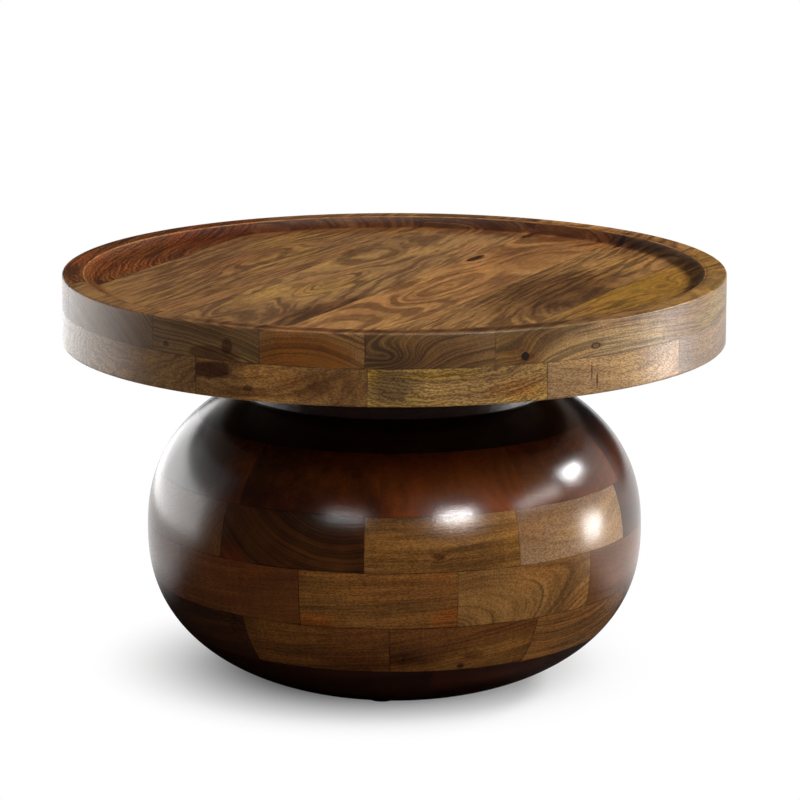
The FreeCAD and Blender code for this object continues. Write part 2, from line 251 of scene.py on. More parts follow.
def rim_mark(
    azimuth: float, drop: float, width: float, height: float, tint: Numbers, **shape: float
) -> Patch:
    """Patch of the top's outer face, at a depth below the top, with half its width and height."""
    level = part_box("top_plank_3")[1].z - drop
    centre = on_wall(azimuth, TOP_RADIUS, level)
    radii = (width, RIM_MARK_DEPTH, height)
    return Patch(centre, radii, tint, lean=math.radians(azimuth), **shape)


def base_mark(
    azimuth: float, rise: float, width: float, height: float, tint: Numbers, **shape: float
) -> Patch:
    """Patch of the base, at a height above its foot, with half its width and height."""
    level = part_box("base_course_1")[0].z + rise
    centre = on_wall(azimuth, DrumBase.belly_radius, level)
    radii = (width, BASE_MARK_DEPTH, height)
    return Patch(centre, radii, tint, lean=math.radians(azimuth), **shape)


@dataclass(frozen=True)
class WoodFinish:
    """Colours of a board, and how strongly each part of its figure shows.

    Flecks are the short dark pores, worm gathers them into fine wavy rows, and grain is how many
    follow each other along a metre. A lip is the radius of a turned inner edge, rubbed pale and with a
    painted highlight, with a cove inside it where a tint paints shade.
    """

    name: str
    light: Colour
    dark: Colour
    warm: Colour
    gold: Colour
    spacing: float = 0.0055
    warp: float = 0.020
    rings: float = 0.3
    streaks: float = 0.35
    lines: float = 0.3
    blotch: float = 0.4
    curl: float = 0.1
    flecks: float = 0.7
    worm: float = 0.5
    tint: float = 0.45
    grain: float = 300.0
    seam: float = 0.8
    roughness: float = 0.17
    specular: float = 0.5
    bump: float = 0.13
    lip: float = 0.0
    # the lip's pale line is rubbed wood and a painted highlight, and the cove's tint is painted shade
    lip_wear_and_highlight: Colour = (168, 116, 66)
    cove: Numbers = (0.44, 0.31, 0.24)
    patches: tuple[Patch, ...] = ()


FIGURE_INPUTS = ("Spacing", "Warp", "Grain")
FIGURE_SHARES = ("Rings", "Streaks", "Lines", "Blotch", "Curl")
ACCENTS = ("Flecks", "Worm", "Tint", "Seam")
COLOURS = ("Light", "Dark", "Warm", "Gold")


class Graph:
    """A node tree, with short calls for the nodes that the finishes use."""

    def __init__(self, tree: bpy.types.NodeTree) -> None:
        """Empty the tree."""
        self.tree = tree
        tree.nodes.clear()

    def node(
        self, kind: str, feeds: dict[str | int, Feed] | None = None, **settings: Any
    ) -> bpy.types.Node:
        """Add a node.

        Args:
            kind: its type, without the leading ShaderNode.
            feeds: a socket or value for each input, by the input's name or number.
            settings: the node's own properties, set before it is fed.

        Returns:
            The node.
        """
        made = self.tree.nodes.new(kind if kind.startswith("Node") else "ShaderNode" + kind)
        for key, value in settings.items():
            setattr(made, key, value)
        for key, value in (feeds or {}).items():
            if isinstance(value, Socket):
                self.tree.links.new(value, made.inputs[key])
            else:
                made.inputs[key].default_value = value
        return made

    def group(self, tree: bpy.types.NodeTree, feeds: dict[str, Feed]) -> Any:
        """Outputs of a group that is fed by the names of its inputs."""
        return self.node("Group", feeds, node_tree=tree).outputs

    def math(self, operation: str, first: Feed, second: Feed = 0.0, third: Feed = 0.0) -> Socket:
        """Result of a Math node."""
        return self.node("Math", {0: first, 1: second, 2: third}, operation=operation).outputs[0]

    def vector(self, operation: str, first: Feed, second: Feed = (0.0, 0.0, 0.0)) -> Socket:
        """Vector result of a Vector Math node."""
        return self.node("VectorMath", {0: first, 1: second}, operation=operation).outputs[0]

    def length(self, vector: Feed) -> Socket:
        """Length of a vector."""
        return self.node("VectorMath", {0: vector}, operation="LENGTH").outputs["Value"]

    def scaled(self, vector: Feed, scale: Feed) -> Socket:
        """A vector times a number."""
        return self.node("VectorMath", {0: vector, "Scale": scale}, operation="SCALE").outputs[0]

    def noise(
        self, vector: Feed, stretch: Numbers, detail: float = 2.0, colour: bool = False
    ) -> Socket:
        """Noise on a stretched vector.

        Args:
            vector: where it is read.
            stretch: how many grains there are to a metre each way.
            detail: how many finer layers it has.
            colour: take three noises instead of one.

        Returns:
            The noise, around 0.5.
        """
        place = self.vector("MULTIPLY", vector, stretch)
        made = self.node("TexNoise", {"Vector": place, "Scale": 1.0, "Detail": detail})
        return made.outputs["Color" if colour else "Fac"]

    def step(self, value: Feed, low: Feed, high: Feed, start: Feed = 0.0, end: Feed = 1.0) -> Socket:
        """Smooth step of a value from one level to another."""
        feeds = {"Value": value, "From Min": low, "From Max": high, "To Min": start, "To Max": end}
        return self.node("MapRange", feeds, interpolation_type="SMOOTHSTEP").outputs[0]

    def mix(self, share: Feed, first: Feed, second: Feed, blend: str = "MIX") -> Socket:
        """Mix of two colours."""
        feeds = {0: share, 6: first, 7: second}
        return self.node("Mix", feeds, data_type="RGBA", blend_type=blend).outputs[2]

    def tinted(self, share: Feed, colour: Feed, tint: Numbers) -> Socket:
        """A colour that is multiplied by a tint where the share is 1."""
        return self.mix(share, colour, (*tint, 1.0), "MULTIPLY")

    def surface(self, height: Socket, strength: float, depth: float, feeds: dict[str, Feed]) -> None:
        """End the tree in a Principled shader whose surface has a relief.

        Args:
            height: the height of the relief.
            strength: how strongly it shows.
            depth: how deep a height of 1 is, in metres.
            feeds: a socket or value for each other input of the shader.
        """
        bump = self.node("Bump", {"Height": height, "Strength": strength, "Distance": depth})
        shader = self.node("BsdfPrincipled", feeds | {"Normal": bump.outputs[0]})
        self.node("OutputMaterial", {"Surface": shader.outputs[0]})

    def send(self, leave: Any, **results: Socket) -> bpy.types.NodeTree:
        """Link results to the group's outputs of the same names, and return the group."""
        for label, result in results.items():
            self.tree.links.new(result, leave[label])
        return self.tree


def new_group(name: str, inputs: dict[str, str], outputs: dict[str, str]) -> tuple[Graph, Any, Any]:
    """Start a shader group.

    Args:
        name: the group's name.
        inputs, outputs: the kind of each socket, by its name: Float, Vector or Color.

    Returns:
        The group's graph, the sockets that bring its inputs and those that take its outputs.
    """
    tree = bpy.data.node_groups.new(name, "ShaderNodeTree")
    for in_out, sockets in (("INPUT", inputs), ("OUTPUT", outputs)):
        for label, kind in sockets.items():
            tree.interface.new_socket(name=label, in_out=in_out, socket_type="NodeSocket" + kind)
    graph = Graph(tree)
    return graph, graph.node("NodeGroupInput").outputs, graph.node("NodeGroupOutput").inputs


def new_material(name: str) -> tuple[bpy.types.Material, Graph]:
    """Start a material, and give it with its empty graph."""
    material = bpy.data.materials.new(name)
    material.use_nodes = True
    return material, Graph(material.node_tree)


def patch_group() -> bpy.types.NodeTree:
    """Group that masks an ellipsoid with a ragged edge.

    The place is measured from the centre, turned by the lean about Z and divided by the radii. Its
    length plus some noise, stepped about 1, is the mask, and the bulge falls off as a bell curve.

    Returns:
        The group.
    """
    inputs = {"Place": "Vector", "Centre": "Vector", "Lean": "Float", "Radii": "Vector"}
    inputs |= {"Soft": "Float", "Ragged": "Float"}
    graph, entry, leave = new_group("wood patch", inputs, {"Mask": "Float", "Bulge": "Float"})
    away = graph.vector("SUBTRACT", entry["Place"], entry["Centre"])
    back = graph.math("MULTIPLY", entry["Lean"], -1.0)
    turn = graph.node("VectorRotate", {"Vector": away, "Angle": back}, rotation_type="Z_AXIS")
    distance = graph.length(graph.vector("DIVIDE", turn.outputs[0], entry["Radii"]))
    rough = graph.math("SUBTRACT", graph.noise(entry["Place"], (60.0, 60.0, 60.0), 3.0), 0.5)
    ragged = graph.math("MULTIPLY_ADD", rough, entry["Ragged"], distance)
    low = graph.math("SUBTRACT", 1.0, entry["Soft"])
    high = graph.math("ADD", 1.0, entry["Soft"])
    fall = graph.math("MULTIPLY", graph.math("MULTIPLY", distance, distance), -1.0)
    mask = graph.step(ragged, low, high, 1.0, 0.0)
    return graph.send(leave, Mask=mask, Bulge=graph.math("EXPONENT", fall))


def figure_group() -> bpy.types.NodeTree:
    """Group that draws the figure of sawn wood from places in the log.

    The rings are a sawtooth of the distance from the pith, warped by slow noise, whose darkness
    changes from ring to ring. Streaks and lines are noise on that distance and on the place along
    the log, so they flow round a knot as the rings do. Fine is noise in short marks along the
    grain, wave is a sine of the same distance with a few millimetres to a turn, and curl lies
    across the grain.

    Returns:
        The group.
    """
    inputs = {"Log": "Vector"} | dict.fromkeys(("Lift", *FIGURE_INPUTS), "Float")
    labels = (*FIGURE_SHARES, "Fine", "Wave", "Tint")
    graph, entry, leave = new_group("wood figure", inputs, dict.fromkeys(labels, "Float"))
    place = entry["Log"]
    slow = graph.noise(place, (7.0, 7.0, 2.4), 2.0, colour=True)
    quick = graph.noise(place, (60.0, 60.0, 22.0), 2.0, colour=True)
    sway = graph.vector("SUBTRACT", slow, (0.5, 0.5, 0.5))
    ripple = graph.scaled(graph.vector("SUBTRACT", quick, (0.5, 0.5, 0.5)), 0.12)
    shift = graph.scaled(graph.vector("ADD", sway, ripple), entry["Warp"])
    flat = graph.vector("MULTIPLY", graph.vector("ADD", place, shift), (1.0, 1.0, 0.0))
    radius = graph.math("ADD", graph.length(flat), entry["Lift"])
    phase = graph.math("DIVIDE", radius, entry["Spacing"])
    tooth = graph.math("FRACT", phase)
    late = graph.math("POWER", tooth, 4.0)
    ring = graph.math("MULTIPLY", late, graph.step(tooth, 0.82, 1.0, 1.0, 0.0))
    year = graph.node("TexNoise", {"W": phase, "Scale": 0.45, "Detail": 1.0}, noise_dimensions="1D")
    ring = graph.math("MULTIPLY", ring, graph.step(year.outputs["Fac"], 0.34, 0.70, 0.1, 1.5))
    patchy = graph.step(graph.noise(place, (30.0, 30.0, 9.0), 2.0), 0.34, 0.62, 0.15, 1.2)
    ring = graph.math("MULTIPLY_ADD", ring, patchy, 0.42)
    pores = graph.node("CombineXYZ", {"X": 1050.0, "Y": 1050.0, "Z": entry["Grain"]}).outputs[0]
    fine = graph.noise(graph.vector("MULTIPLY", place, pores), (1.0, 1.0, 1.0), 0.6)
    bend = graph.noise(place, (55.0, 55.0, 24.0), 2.0)
    turns = graph.math("MULTIPLY_ADD", radius, 330.0, graph.math("MULTIPLY", bend, 5.0))
    wave = graph.math("SINE", graph.math("MULTIPLY", turns, 2 * math.pi))
    run = graph.node("SeparateXYZ", {0: place}).outputs["Z"]
    follow = graph.node("CombineXYZ", {"X": radius, "Y": run, "Z": 0.0}).outputs[0]
    moved = graph.vector("ADD", place, (3.1, 1.7, 5.3))
    across = graph.vector("ADD", moved, shift)
    clouds = {
        "Streaks": (follow, (75.0, 3.2, 1.0), 4.0, 0.38, 0.62),
        "Lines": (follow, (420.0, 11.0, 1.0), 3.0, 0.36, 0.64),
        "Blotch": (place, (14.0, 14.0, 5.0), 3.0, 0.34, 0.66),
        "Tint": (moved, (13.0, 13.0, 5.0), 3.0, 0.30, 0.70),
        "Curl": (across, (26.0, 26.0, 150.0), 1.0, 0.34, 0.66),
    }
    drawn = {
        label: graph.step(graph.noise(where, stretch, detail), low, high)
        for label, (where, stretch, detail, low, high) in clouds.items()
    }
    return graph.send(leave, Rings=ring, Fine=fine, Wave=wave, **drawn)


def board_group(figure: bpy.types.NodeTree) -> bpy.types.NodeTree:
    """Group that colours a board from its figure.

    Each part of the figure, less a half and times its strength, moves the colour between light and
    dark. A warm and a golden accent come in over wide areas. Flecks, which the wave gathers into
    rows, darken it between brighter wood, and so does the glue line at a joint, which shows more in
    some stretches than in others.

    Args:
        figure: the group that draws the figure.

    Returns:
        The group.
    """
    inputs = {"Log": "Vector"} | dict.fromkeys(COLOURS, "Color")
    inputs |= dict.fromkeys(("Edge", "Lift", *FIGURE_INPUTS, *FIGURE_SHARES, *ACCENTS), "Float")
    outputs = {"Color": "Color", "Height": "Float", "Rough": "Float"}
    graph, entry, leave = new_group("sawn board", inputs, outputs)
    drawn = graph.group(figure, {label: entry[label] for label in ("Log", "Lift", *FIGURE_INPUTS)})
    share = 0.5
    for label in FIGURE_SHARES:
        centred = graph.math("SUBTRACT", drawn[label], 0.5)
        share = graph.math("MULTIPLY_ADD", centred, entry[label], share)
    share = graph.node("Clamp", {"Value": share}).outputs[0]
    colour = graph.mix(share, entry["Light"], entry["Dark"])
    shade = graph.math("MULTIPLY_ADD", share, -1.1, 1.5)
    for accent, low, high in (("Warm", 0.55, 1.0), ("Gold", 0.45, 0.0)):
        present = graph.math("MULTIPLY", graph.step(drawn["Tint"], low, high), entry["Tint"])
        colour = graph.mix(present, colour, graph.scaled(entry[accent], shade))
    rows = graph.math("MULTIPLY", drawn["Wave"], graph.math("MULTIPLY", entry["Worm"], 0.11))
    marks = graph.step(graph.math("ADD", drawn["Fine"], rows), 0.43, 0.58)
    flecks = graph.math("MULTIPLY", marks, entry["Flecks"])
    bright = graph.scaled(colour, graph.math("MULTIPLY_ADD", entry["Flecks"], 0.30, 1.0))
    colour = graph.tinted(flecks, bright, (0.46, 0.38, 0.32))
    uneven = graph.step(graph.noise(entry["Log"], (25.0, 25.0, 25.0), 1.0), 0.38, 0.58, 0.25, 1.0)
    ragged = graph.math("MULTIPLY_ADD", drawn["Fine"], 0.0004, entry["Edge"])
    seam = graph.step(ragged, 0.0004, 0.0011, 1.0, 0.0)
    seam = graph.math("MULTIPLY", graph.math("MULTIPLY", seam, uneven), entry["Seam"])
    colour = graph.tinted(seam, colour, (0.12, 0.08, 0.06))
    low = graph.math("MULTIPLY", flecks, -0.5)
    for part, depth in ((drawn["Fine"], -1.2), (drawn["Lines"], -0.2), (seam, -0.7)):
        low = graph.math("MULTIPLY_ADD", part, depth, low)
    return graph.send(leave, Color=colour, Height=low, Rough=flecks)


def turned_edge_group() -> bpy.types.NodeTree:
    """Group that masks a turned line, such as a lip with a painted highlight or a cove with painted shade.

    The mask falls from 1 at the line's distance from the table's axis to 0 a width away. Noise
    takes up to the broken share off it.

    Returns:
        The group.
    """
    inputs = {"Place": "Vector", "Radius": "Float", "Width": "Float", "Broken": "Float"}
    graph, entry, leave = new_group("turned edge", inputs, {"Mask": "Float"})
    out = graph.length(graph.vector("MULTIPLY", entry["Place"], (1.0, 1.0, 0.0)))
    away = graph.math("ABSOLUTE", graph.math("SUBTRACT", out, entry["Radius"]))
    shares = graph.math("DIVIDE", away, entry["Width"])
    gaps = graph.step(graph.noise(entry["Place"], (60.0, 60.0, 60.0), 2.0), 0.35, 0.6, -1.0, 0.0)
    kept = graph.math("MULTIPLY_ADD", gaps, entry["Broken"], 1.0)
    mask = graph.math("MULTIPLY", graph.step(shares, 0.25, 1.0, 1.0, 0.0), kept)
    return graph.send(leave, Mask=mask)


class WoodShop:
    """Builds the shared shader groups once, and one material for each finish."""

    def __init__(self) -> None:
        """Build the groups."""
        self.patch = patch_group()
        self.board = board_group(figure_group())
        self.turned_edge = turned_edge_group()
        self.made: dict[str, bpy.types.Material] = {}

    def patches(self, graph: Graph, finish: WoodFinish, place: Socket) -> tuple[list[Socket], Feed]:
        """Masks of the finish's patches.

        Args:
            graph: the material's graph.
            finish: the finish.
            place: the place in the table's frame.

        Returns:
            One mask for each patch, and how far the patches lift the growth rings together.
        """
        masks, lift = [], 0.0
        for patch in finish.patches:
            feeds = {"Place": place, "Centre": patch.centre, "Lean": patch.lean, "Radii": patch.radii}
            feeds |= {"Soft": patch.soft, "Ragged": patch.ragged}
            made = graph.group(self.patch, feeds)
            masks.append(made["Mask"])
            if patch.bulge:
                lift = graph.math("MULTIPLY_ADD", made["Bulge"], patch.bulge, lift)
        return masks, lift

    def material(self, finish: WoodFinish) -> bpy.types.Material:
        """Material of a finish, made at its first use.

        Args:
            finish: the finish.

        Returns:
            The material.
        """
        if finish.name in self.made:
            return self.made[finish.name]
        material, graph = new_material(finish.name)
        self.made[finish.name] = material
        here = graph.node("TexCoord").outputs["Object"]
        masks, lift = self.patches(graph, finish, here)
        place = graph.node("Attribute", attribute_name="log").outputs["Vector"]
        edge = graph.node("Attribute", attribute_name="edge").outputs["Fac"]
        feeds = {"Log": place, "Edge": edge, "Lift": lift}
        feeds |= {label: srgb(*getattr(finish, label.lower())) for label in COLOURS}
        strengths = (*FIGURE_INPUTS, *FIGURE_SHARES, *ACCENTS)
        feeds |= {label: getattr(finish, label.lower()) for label in strengths}
        board = graph.group(self.board, feeds)
        colour = board["Color"]
        for patch, mask in zip(finish.patches, masks):
            colour = graph.tinted(mask, colour, patch.tint)
        if finish.lip:
            colour = self.paint_cove_shade_and_lip(graph, finish, here, colour)
        rough = graph.math("MULTIPLY_ADD", board["Rough"], 0.08, finish.roughness)
        feeds = {"Base Color": colour, "Roughness": rough, "Specular IOR Level": finish.specular}
        graph.surface(board["Height"], finish.bump, 0.0004, feeds)
        return material

    def paint_cove_shade_and_lip(self, graph: Graph, finish: WoodFinish, here: Socket, colour: Socket) -> Socket:
        """Paint shade in a plank's cove, on the tray floor at the back and on the flat rim at the front.

        Args:
            graph: the material's graph.
            finish: the finish.
            here: the place in the table's frame.
            colour: the plain wood.

        Returns:
            The wood with its painted shade, and a pale line on the lip that is rubbed pale and painted as a
            highlight.
        """
        depth = graph.node("SeparateXYZ", {0: here}).outputs["Y"]
        # painted shade: the cove, darker towards the back, the tray floor beside the cove at the back, and
        # the flat rim at the front
        bands = (
            (-0.009, 0.016, graph.step(depth, -0.30, -0.10, 0.6, 1.0), finish.cove),
            (-0.020, 0.050, graph.step(depth, 0.05, 0.25), (0.64, 0.49, 0.38)),
            (0.0115, 0.013, graph.step(depth, -0.20, -0.32), (0.36, 0.26, 0.20)),
        )
        for past_lip, width, share, tint in bands:
            feeds = {"Place": here, "Radius": finish.lip + past_lip, "Width": width, "Broken": 0.2}
            mask = graph.group(self.turned_edge, feeds)["Mask"]
            colour = graph.tinted(graph.math("MULTIPLY", mask, share), colour, tint)
        # a pale line on the lip: rubbed wood and a painted highlight
        feeds = {"Place": here, "Radius": finish.lip, "Width": 0.0011, "Broken": 0.65}
        return graph.mix(graph.group(self.turned_edge, feeds)["Mask"], colour, srgb(*finish.lip_wear_and_highlight))


@dataclass
class TrayTop:
    """Planks glued edge to edge and turned with a flat rim, a concave cove and a tray floor."""

    shop: WoodShop
    radius: float = TOP_RADIUS
    width_shares: Numbers = (0.125, 0.22, 0.1825, 0.15, 0.1575, 0.165)
    tray_depth: float = 0.010
    rim_width: float = 0.023
    cove_run: float = 0.019
    ease: float = 0.002
    blend: float = 0.00022
    step: float = 0.004

    def __post_init__(self) -> None:
        """Take the heights from the frame and work out the joints across the planks."""
        low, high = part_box("top_plank_3")
        self.bottom, self.top = low.z + GLUE_INSET, high.z
        places = np.concatenate(((0.0,), np.cumsum(self.width_shares))) * 2 - 1
        self.joints = places * self.radius

    def height(self, radius: np.ndarray) -> np.ndarray:
        """Height of the turned surface at distances from the axis.

        The cove is an arc that touches the floor, and the lid is the flat rim with its eased outer
        edge. A soft minimum of the two rounds the edge between them.

        Args:
            radius: distances from the axis.

        Returns:
            The heights.
        """
        floor_radius = self.radius - self.rim_width - self.cove_run
        bow = (self.cove_run**2 + self.tray_depth**2) / (2 * self.tray_depth)
        out = np.clip(radius - floor_radius, 0.0, 0.98 * bow)
        cove = self.top - self.tray_depth + bow - np.sqrt(bow**2 - out**2)
        past = np.clip(radius - (self.radius - self.ease), 0.0, self.ease)
        lid = self.top - self.ease + np.sqrt(self.ease**2 - past**2)
        return -self.blend * np.logaddexp(-cove / self.blend, -lid / self.blend)

    def rings(self) -> np.ndarray:
        """Distances from the axis of the rows of the turned surface, from the floor outwards."""
        floor_radius = self.radius - self.rim_width - self.cove_run
        corner = self.radius - self.rim_width
        cove = np.linspace(floor_radius, corner - 0.0025, 8)
        turn = np.linspace(0, math.pi / 2, 6)
        eased = self.radius - self.ease + self.ease * np.sin(turn)
        flat_end = self.radius - 2 * self.ease
        return np.concatenate(((floor_radius - 0.002,), cove, corner + LIP_ROWS, (flat_end,), eased))

    def wall(self) -> np.ndarray:
        """Heights of the rows of the outer face, from under the eased edge down."""
        rows = np.linspace(self.top - 2 * self.ease, self.bottom + CLOSE_ROWS[-1], 4)
        return np.concatenate((rows, self.bottom + CLOSE_ROWS[-2::-1]))

    def strip(self, low: float, high: float) -> tuple[np.ndarray, np.ndarray]:
        """Loops of a plank between two joints, with the planks along Y.

        At a place x across the planks, a ring of radius r is at y = plus or minus the root of
        r squared less x squared. The loop runs over the tray, down the outer face at one end,
        back under the plank and up the face at the other.

        Args:
            low, high: places of the two joints.

        Returns:
            The loops, and each point's distance from a joint.
        """
        x = spaced(low + GLUE_INSET, high - GLUE_INSET, self.step)
        rings, wall = self.rings(), self.wall()
        reach = np.sqrt(rings[None, :] ** 2 - x[:, None] ** 2)
        ends = np.repeat(reach[:, -1:], len(wall), axis=1)
        y = np.concatenate((-reach[:, ::-1], reach, ends, -ends), axis=1)
        tray = self.height(rings)
        z = np.broadcast_to(np.concatenate((tray[::-1], tray, wall, wall[::-1])), y.shape)
        points = np.stack((np.broadcast_to(x[:, None], y.shape), y, z), axis=-1)
        beside = np.minimum(x - x[0], x[-1] - x)
        return points, self.edge(beside, z)

    def segment(self, joint: float) -> tuple[np.ndarray, np.ndarray]:
        """Loops of a plank at the rim, cut off by one joint, with the planks along Y.

        Each loop is a radial cut. It starts at the joint, whose distance from the axis grows with
        the cut's angle as one over its cosine, and rings that lie inside that are drawn out to it.

        Args:
            joint: place of the joint, negative for a plank at the left edge.

        Returns:
            The loops, and each point's distance from the joint or the layer below.
        """
        near = abs(joint) + GLUE_INSET
        reach = math.acos(near / self.radius)
        count = math.ceil(2 * reach * self.radius / self.step)
        angles = reach * np.sin(np.linspace(-math.pi / 2, math.pi / 2, count))
        starts = near / np.cos(angles)[:, None] + CLOSE_ROWS[None, :]
        rows = self.rings()
        rings = np.concatenate((starts, np.broadcast_to(rows, (count, len(rows)))), axis=1)
        rings = np.minimum(np.maximum.accumulate(rings, axis=1), self.radius)
        wall = self.wall()
        ends = np.full((count, len(wall)), self.radius)
        radius = np.concatenate((rings, ends, rings[:, :1]), axis=1)
        under = np.broadcast_to(np.concatenate((wall, (self.bottom,))), (count, len(wall) + 1))
        z = np.concatenate((self.height(rings), under), axis=1)
        side = math.copysign(1.0, joint)
        x = side * radius * np.cos(angles)[:, None]
        y = side * radius * np.sin(angles)[:, None]
        beside = np.abs(x) - near
        return np.stack((x, y, z), axis=-1), self.edge(beside, z)

    def edge(self, beside: np.ndarray, z: np.ndarray) -> np.ndarray:
        """Distance from a joint beside the plank or the layer below, at most the last close row."""
        if beside.ndim == 1:
            beside = beside[:, None]
        return np.minimum(np.minimum(beside, z - self.bottom), CLOSE_ROWS[-1])

    def build(self) -> int:
        """Make and dress the planks.

        Returns:
            How many there are.
        """
        turn = np.array((ACROSS, ALONG, UP))
        for index, (low, high) in enumerate(zip(self.joints, self.joints[1:])):
            if index == 0:
                points, edge = self.segment(high)
            elif index == len(self.width_shares) - 1:
                points, edge = self.segment(low)
            else:
                points, edge = self.strip(low, high)
            sawn = PLANK_CUTS[index]
            pith = sawn.offset * ACROSS + (self.top - sawn.depth) * UP
            wood = LogFrame(pith, ALONG + sawn.slope * UP, ACROSS, sawn.shift)
            node = "top_plank_%d" % (index + 1)
            piece = loft("tray_plank_%d" % (index + 1), points @ turn, edge, wood)
            fit(piece, node, self.shop.material(PLANK_FINISHES[index]))
        return len(self.width_shares)


@dataclass(frozen=True)
class PlankCut:
    """How a plank was sawn: the pith's offset across the table and its depth, slope and shift."""

    offset: float
    depth: float
    slope: float
    shift: float


PLANK_CUTS = (
    PlankCut(-0.250, 0.060, 0.30, 1.0),
    PlankCut(-0.300, 0.190, 0.02, 2.3),
    PlankCut(-0.100, 0.260, -0.03, 4.1),
    PlankCut(0.065, 0.150, 0.02, 6.2),
    PlankCut(0.250, 0.160, 0.04, 8.4),
    PlankCut(0.330, 0.120, -0.04, 10.7),
)

TRAY_LIP = TrayTop.radius - TrayTop.rim_width


def plank(name: str, *colours: Colour, **figure: Any) -> WoodFinish:
    """Finish of a plank: its four colours, and what differs from the figure of most planks."""
    usual = {"rings": 0.5, "streaks": 0.3, "lines": 1.1, "flecks": 0.6, "worm": 0.1, "seam": 0.6}
    usual |= {"warp": 0.026, "grain": 50.0, "roughness": 0.38, "specular": 0.4, "lip": TRAY_LIP}
    return WoodFinish(name, *colours, **usual | figure)


BACK_COVE_SHADE = (0.20, 0.16, 0.16)  # painted shade: the cove is nearly black at the back and right

PLANK_FINISHES = (
    plank("plank reddish", (124, 72, 30), (72, 40, 16), (132, 64, 20), (118, 74, 26),
          rings=0.3, flecks=1.0, worm=1.3, grain=230.0, cove=(0.84, 0.80, 0.60)),
    plank("plank brown", (148, 107, 63), (104, 72, 43), (138, 91, 53), (150, 112, 57), patches=(
        tray_mark(-0.190, 0.060, 0.110, 0.020, (0.98, 0.92, 0.86), soft=0.6, bulge=0.022),
    )),
    plank("plank streaked", (152, 114, 69), (104, 73, 44), (141, 94, 55), (156, 119, 59), patches=(
        tray_mark(-0.050, -0.060, 0.090, 0.016, (1.02, 0.98, 0.90), soft=0.6, bulge=0.018),
        tray_mark(-0.080, -0.170, 0.100, 0.013, (1.06, 1.04, 0.96), soft=0.6, bulge=0.020),
        tray_mark(0.017, -0.208, 0.090, 0.026, (0.50, 0.44, 0.42), soft=0.25, ragged=0.9),
        tray_mark(0.012, 0.343, 0.014, 0.008, (0.45, 0.35, 0.30), bulge=0.01),
        rim_mark(-31.0, 0.031, 0.030, 0.008, (0.52, 0.42, 0.38), soft=0.2),
        rim_mark(-28.2, 0.021, 0.006, 0.008, (0.50, 0.40, 0.36), soft=0.2),
        rim_mark(-40.6, 0.027, 0.004, 0.003, (0.40, 0.34, 0.30)),
    )),
    plank("plank swirled", (166, 120, 70), (118, 80, 44), (162, 106, 55), (166, 122, 58),
          rings=0.75, warp=0.02, tint=0.3, patches=(
        tray_mark(0.070, -0.020, 0.130, 0.030, (1.0, 0.97, 0.92), soft=0.7, bulge=0.022),
        tray_mark(0.029, 0.146, 0.020, 0.0055, (0.12, 0.09, 0.09), soft=0.3, ragged=0.5, bulge=-0.01),
        tray_mark(0.085, 0.190, 0.090, 0.036, (0.66, 0.60, 0.56), soft=0.7, ragged=0.9, bulge=0.012),
        tray_mark(0.024, 0.300, 0.018, 0.004, (0.25, 0.20, 0.18), ragged=0.9),
        rim_mark(-14.5, 0.030, 0.055, 0.028, (0.84, 0.58, 0.20), soft=0.4),
    )),
    plank("plank smoky", (150, 110, 62), (100, 68, 37), (130, 86, 46), (150, 108, 52),
          rings=0.6, cove=BACK_COVE_SHADE, patches=(
        tray_mark(0.186, 0.005, 0.125, 0.062, (0.46, 0.40, 0.36), soft=0.5, ragged=0.7),
        tray_mark(0.141, 0.294, 0.022, 0.004, (0.25, 0.18, 0.15), ragged=0.9),
        rim_mark(6.0, 0.032, 0.060, 0.028, (0.92, 0.84, 0.60), soft=0.5),
        rim_mark(-0.6, 0.026, 0.030, 0.012, (0.66, 0.72, 0.76), soft=0.6, ragged=0.9, bulge=0.02),
    )),
    plank("plank golden", (142, 104, 54), (98, 70, 36), (132, 86, 42), (148, 110, 40),
          tint=0.3, cove=BACK_COVE_SHADE, patches=(
        tray_mark(0.268, 0.060, 0.150, 0.045, (1.0, 0.98, 0.46), soft=0.5),
        tray_mark(0.279, 0.080, 0.030, 0.014, (1.05, 1.00, 0.80), soft=0.6, bulge=0.02),
        # the marks at 38 and 76 degrees paint a pale grey sheen on the right of the rim's face
        rim_mark(38.0, 0.032, 0.083, 0.030, (2.05, 2.55, 3.90), soft=0.4),
        rim_mark(26.0, 0.032, 0.050, 0.028, (1.12, 1.02, 0.90), soft=0.5),
        rim_mark(76.0, 0.032, 0.110, 0.028, (1.00, 1.26, 1.90), soft=0.5),
        rim_mark(21.0, 0.026, 0.020, 0.014, (0.96, 0.84, 0.62), soft=0.5, bulge=0.012),
        rim_mark(22.9, 0.028, 0.0030, 0.0030, (1.0, 0.50, 0.45)),
        rim_mark(21.7, 0.028, 0.0045, 0.0045, (0.10, 0.06, 0.09), soft=0.2, ragged=0.3),
        rim_mark(35.0, 0.025, 0.0060, 0.0033, (0.18, 0.14, 0.12), soft=0.2, ragged=0.2),
        rim_mark(35.0, 0.025, 0.0038, 0.0018, (4.5, 4.8, 5.0), soft=0.2, ragged=0.2),
    )),
)


